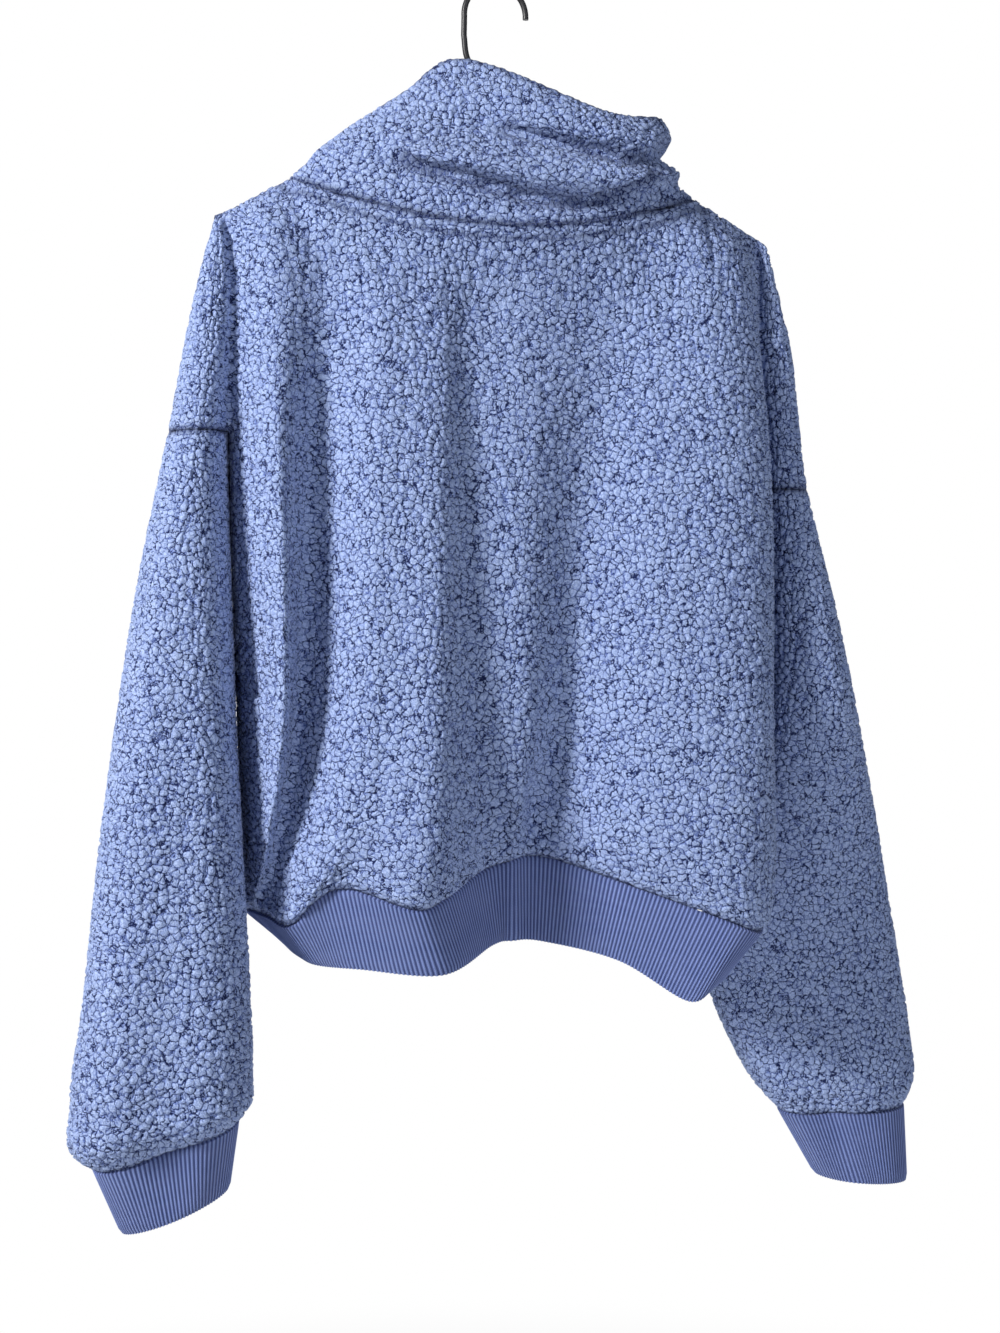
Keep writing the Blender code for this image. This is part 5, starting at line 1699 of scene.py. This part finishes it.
@dataclass
class Zip:
    """The front zip: woven tape with two rows of moulded teeth."""

    tape: TapeFinish = TapeFinish()
    teeth: CoatedFinish = CoatedFinish("zip_teeth", (0.17, 0.23, 0.50), 0.4)
    metal: CoatedFinish = CoatedFinish("zip_metal", (0.22, 0.225, 0.245), 0.5, 1.0, 0.5)
    pitch: float = 2.6
    tooth: tuple[float, float, float] = (2.6, 1.5, 1.15)
    offset: float = 0.75
    bevel: float = 0.3
    end_gap: float = 4.0
    look_ahead: float = 1.0
    soft_angle: float = 40.0
    sink: float = 0.4
    spread: float = 1.18

    def build(self, skin: Skin, path: Array) -> list[bpy.types.Object]:
        """Makes the tape and the teeth, and finishes the slider and its tab.

        Args:
            skin: the jacket's skin.
            path: the zip's centre line.

        Returns:
            The tape and the teeth.
        """
        shell = skin.shell(Panel.ZIP, sink=self.sink)
        upward = path[np.argsort(path[:, 2])] * MM
        centre = np.interp(shell.places[:, 2], upward[:, 2], upward[:, 0])
        shell.places[:, 0] = centre + (shell.places[:, 0] - centre) * self.spread
        tape = new_object("zip_tape", shell.places, shell.faces)
        tape.data.shade_smooth()
        tape.data.materials.append(self.tape.material())
        dress(tape, "zip")
        teeth = self._teeth(path)
        cast = self.metal.material()
        for node in ("zip_slider", "pull_tab"):
            finish_node(node, cast)
        return [tape, teeth]

    def _teeth(self, path: Array) -> bpy.types.Object:
        """The teeth, set on the path by the row tree."""
        steps = np.linalg.norm(np.diff(path, axis=0), axis=1)
        run = np.concatenate([[0], np.cumsum(steps)])
        places, alongs, outs = [], [], []
        for index, at in enumerate(np.arange(self.end_gap, run[-1] - self.end_gap, self.pitch / 2)):
            place, ahead = read_line(path, run, np.array([at, at + self.look_ahead]))
            along = (ahead - place) / np.linalg.norm(ahead - place)
            across = np.array([1.0 if index % 2 else -1.0, 0.0, 0.0])
            out = np.cross(np.array([1.0, 0.0, 0.0]), along)
            out = out / np.linalg.norm(out) * (1.0 if out[1] > 0 else -1.0)
            places.append(place + across * self.offset - out * self.sink)
            alongs.append(along)
            outs.append(out)
        row = new_object("zip_teeth", np.array(places) * MM, [])
        set_attribute(row, "along", np.array(alongs))
        set_attribute(row, "out", np.array(outs))
        tooth = self._tooth()
        row_tool().apply(row, Form=tooth, Material=self.teeth.material())
        bpy.data.objects.remove(tooth)
        smooth_out(row, self.soft_angle)
        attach(row, "jacket")
        return row

    def _tooth(self) -> bpy.types.Object:
        """One tooth: a rounded block across the chain."""
        shaped = bmesh.new()
        bmesh.ops.create_cube(shaped, size=1.0)
        for vertex in shaped.verts:
            vertex.co = Vector([part * size * MM for part, size in zip(vertex.co, self.tooth)])
        bmesh.ops.bevel(shaped, geom=shaped.edges[:], offset=self.bevel * MM, segments=1, affect="EDGES")
        tooth = new_object("tooth_form", np.zeros((0, 3)), [])
        shaped.to_mesh(tooth.data)
        shaped.free()
        return tooth


def finish_node(node: str, material: bpy.types.Material) -> None:
    """Gives a carried-over node its material."""
    obj = bpy.data.objects[node]
    for slot in obj.material_slots:
        slot.material = material


@dataclass
class Hanger:
    """The plain black hanger: its coated arms, and its hook in round wire."""

    coat: CoatedFinish = CoatedFinish("hanger_coat", (0.012, 0.012, 0.014), 0.42, 0.0, 0.2)
    wire: float = 1.9
    inner: float = 18.4
    stem: tuple[tuple[float, float], ...] = ((0, -76.7), (-0.5, -70), (-11, -58), (-18.5, -46), (-20.5, -32))
    turns: tuple[float, float] = (184, -4)
    stem_points: int = 25
    bend_points: int = 49
    soft_angle: float = 50.0

    def build(self) -> list[bpy.types.Object]:
        """Makes the hook and finishes the arms.

        Returns:
            The hook.
        """
        material = self.coat.material()
        stem = smooth_curve(self.stem, np.linspace(0, len(self.stem) - 1, self.stem_points))
        radius = self.inner + self.wire
        turns = np.radians(np.linspace(*self.turns, self.bend_points))
        bend = np.stack([radius * np.cos(turns), radius * np.sin(turns) - self.inner], 1)
        line = np.concatenate([stem, bend])
        places = np.stack([line[:, 0], np.zeros(len(line)), line[:, 1]], 1) * MM
        hook = new_object("hook_wire", places, [], [(step, step + 1) for step in range(len(places) - 1)])
        wire_tool().apply(hook, Radius=self.wire * MM, Material=material)
        smooth_out(hook, self.soft_angle)
        dress(hook, "hook")
        finish_node("hanger", material)
        return [hook]


class Lamp(NamedTuple):
    """A square soft light: its place in metres, its power in watts, its side in metres and its colour."""

    name: str
    place: tuple[float, float, float]
    power: float
    size: float
    colour: Colour


@dataclass
class Studio:
    """A plain pale floor, soft light from the upper left and the photograph's camera."""

    camera_at: tuple[float, float, float] = (-0.2562, -1.221, -0.3752)
    target: tuple[float, float, float] = (0.0033, 0.0, -0.4406)
    lens: float = 51.15
    sensor: float = 36.0
    lamps: tuple[Lamp, ...] = (
        Lamp("key", (-2.1, -1.1, 0.65), 82.0, 0.5, (1.0, 0.985, 0.97)),
        Lamp("fill", (0.9, -2.6, 0.0), 16.0, 0.9, (0.95, 0.97, 1.0)),
        Lamp("rim", (0.9, 2.1, 0.2), 26.0, 1.4, WHITE),
    )
    lamp_target: tuple[float, float, float] = (0.0, 0.0, -0.42)
    floor_z: float = -1.60
    floor_half: float = 2.2
    white_from: float = 1.0
    white_at: float = 1.9
    paper: Colour = (0.85, 0.85, 0.85)
    air: Colour = (0.82, 0.88, 1.0)
    air_strength: float = 0.17

    def build(self) -> None:
        """Makes the air, the floor, the lights and the camera."""
        scene = bpy.context.scene
        scene.view_settings.view_transform = "Standard"
        self._air(scene)
        self._floor()
        for lamp in self.lamps:
            data = bpy.data.lights.new(lamp.name, "AREA")
            data.energy = lamp.power
            data.size = lamp.size
            data.color = lamp.colour
            self._aimed(data, lamp.place, self.lamp_target)
        data = bpy.data.cameras.new("camera")
        data.lens = self.lens
        data.sensor_width = self.sensor
        scene.camera = self._aimed(data, self.camera_at, self.target)

    @staticmethod
    def _aimed(data: bpy.types.ID, place: Sequence[float], target: Sequence[float]) -> bpy.types.Object:
        """A camera or a light at a place, aimed at a target."""
        obj = bpy.data.objects.new(data.name, data)
        bpy.context.scene.collection.objects.link(obj)
        obj.location = place
        obj.rotation_euler = (Vector(place) - Vector(target)).to_track_quat("Z", "Y").to_euler()
        return obj

    def _air(self, scene: bpy.types.Scene) -> None:
        """The soft light all round, with plain white where the camera looks past the floor."""
        world = bpy.data.worlds.new("studio_air")
        scene.world = world
        world.use_nodes = True
        graph = Graph(world.node_tree)
        seen = graph.node("ShaderNodeLightPath").outputs["Is Camera Ray"]
        soft = graph.node("ShaderNodeBackground", None,
                          {"Color": (*self.air, 1.0), "Strength": self.air_strength})
        white = graph.node("ShaderNodeBackground", None, {"Color": (*WHITE, 1.0), "Strength": 1.0})
        both = graph.node("ShaderNodeMixShader", None, {0: seen, 1: soft.outputs[0], 2: white.outputs[0]})
        graph.join(both.outputs[0], world.node_tree.nodes["World Output"].inputs["Surface"])

    def _floor(self) -> None:
        """The pale floor, which grows plain white away from the jacket."""
        half = self.floor_half
        corners = [(-half, -half, self.floor_z), (half, -half, self.floor_z), (half, half, self.floor_z),
                   (-half, half, self.floor_z)]
        floor = new_object("paper_floor", np.array(corners), [[0, 1, 2, 3]])
        made, graph, shader = new_material("paper")
        place = graph.node("ShaderNodeTexCoord").outputs["Object"]
        flat = graph.vector("MULTIPLY", {0: place, 1: (1.0, 1.0, 0.0)})
        away = graph.vector("LENGTH", {0: flat.outputs[0]})
        white = graph.term(away.outputs["Value"]).ramp(self.white_from, self.white_at)
        graph.join(graph.mixed(white, self.paper, BLACK), shader.inputs["Base Color"])
        graph.join(graph.mixed(white, BLACK, WHITE), shader.inputs["Emission Color"])
        set_sockets(shader, {"Emission Strength": 1.0, "Specular IOR Level": 0.0, "Roughness": 0.9})
        floor.data.materials.append(made)


def build_bands(form: JacketForm, skin: Skin, lines: dict[str, Any]) -> list[bpy.types.Object]:
    """Makes the hem band and both cuffs.

    Args:
        form: the jacket's form.
        skin: its skin.
        lines: the seams' lines.

    Returns:
        The bands.
    """
    tool = rib_tool()
    material = RibFinish().material()
    place_of = {point_key(place): index for index, place in enumerate(skin.points)}

    def normals_at(line: Array) -> Array:
        """The skin's outward directions along a line of its points."""
        return np.array([skin.normals[place_of[point_key(place)]] for place in line])

    hem = lines["hem"]
    band = RibBand(Panel.HEM_BAND, False, Cut(0.80, 0.045, 0.036))
    made = [band.build(with_gap(hem), with_gap(lines["foot"]), normals_at(hem), tool, material)]
    for side, panel in ((Side.LEFT, Panel.CUFF_LEFT), (Side.RIGHT, Panel.CUFF_RIGHT)):
        ring = lines["sleeves"][side][-1]
        cuff = RibBand(panel, True, Cut(0.21, 0.050, 0.0105))
        made.append(cuff.build(ring, form.cuff_foot(side), normals_at(ring), tool, material))
    return made


def point_key(place: Array) -> tuple[float, ...]:
    """A point's key, the same for two readings of one shared point."""
    return tuple(np.round(place, SHARED_DIGITS) + 0.0)


def with_gap(line: Array, gap: float = 0.3) -> Array:
    """A line that starts and ends a seam's gap from the zip."""
    line = np.array(line, float)
    for end, after in ((0, 1), (-1, -2)):
        step = line[after] - line[end]
        line[end] = line[end] + step / np.linalg.norm(step) * gap
    return line


def main() -> None:
    """Builds the jacket, its hanger and the studio."""
    logging.basicConfig(level=logging.INFO, format="%(name)s: %(message)s")
    Studio().build()
    form = JacketForm()
    skin, lines = draw_skin(form)
    LOG.info("skin of %d points", len(skin.points))
    pieces = PileCloth().build(skin, lines)
    pieces += build_bands(form, skin, lines)
    pieces += Zip().build(skin, lines["zip"])
    pieces += Hanger().build()
    for piece in pieces:
        LOG.info("%s: %d faces", piece.name, len(piece.data.polygons))


if __name__ == "__main__":
    main()
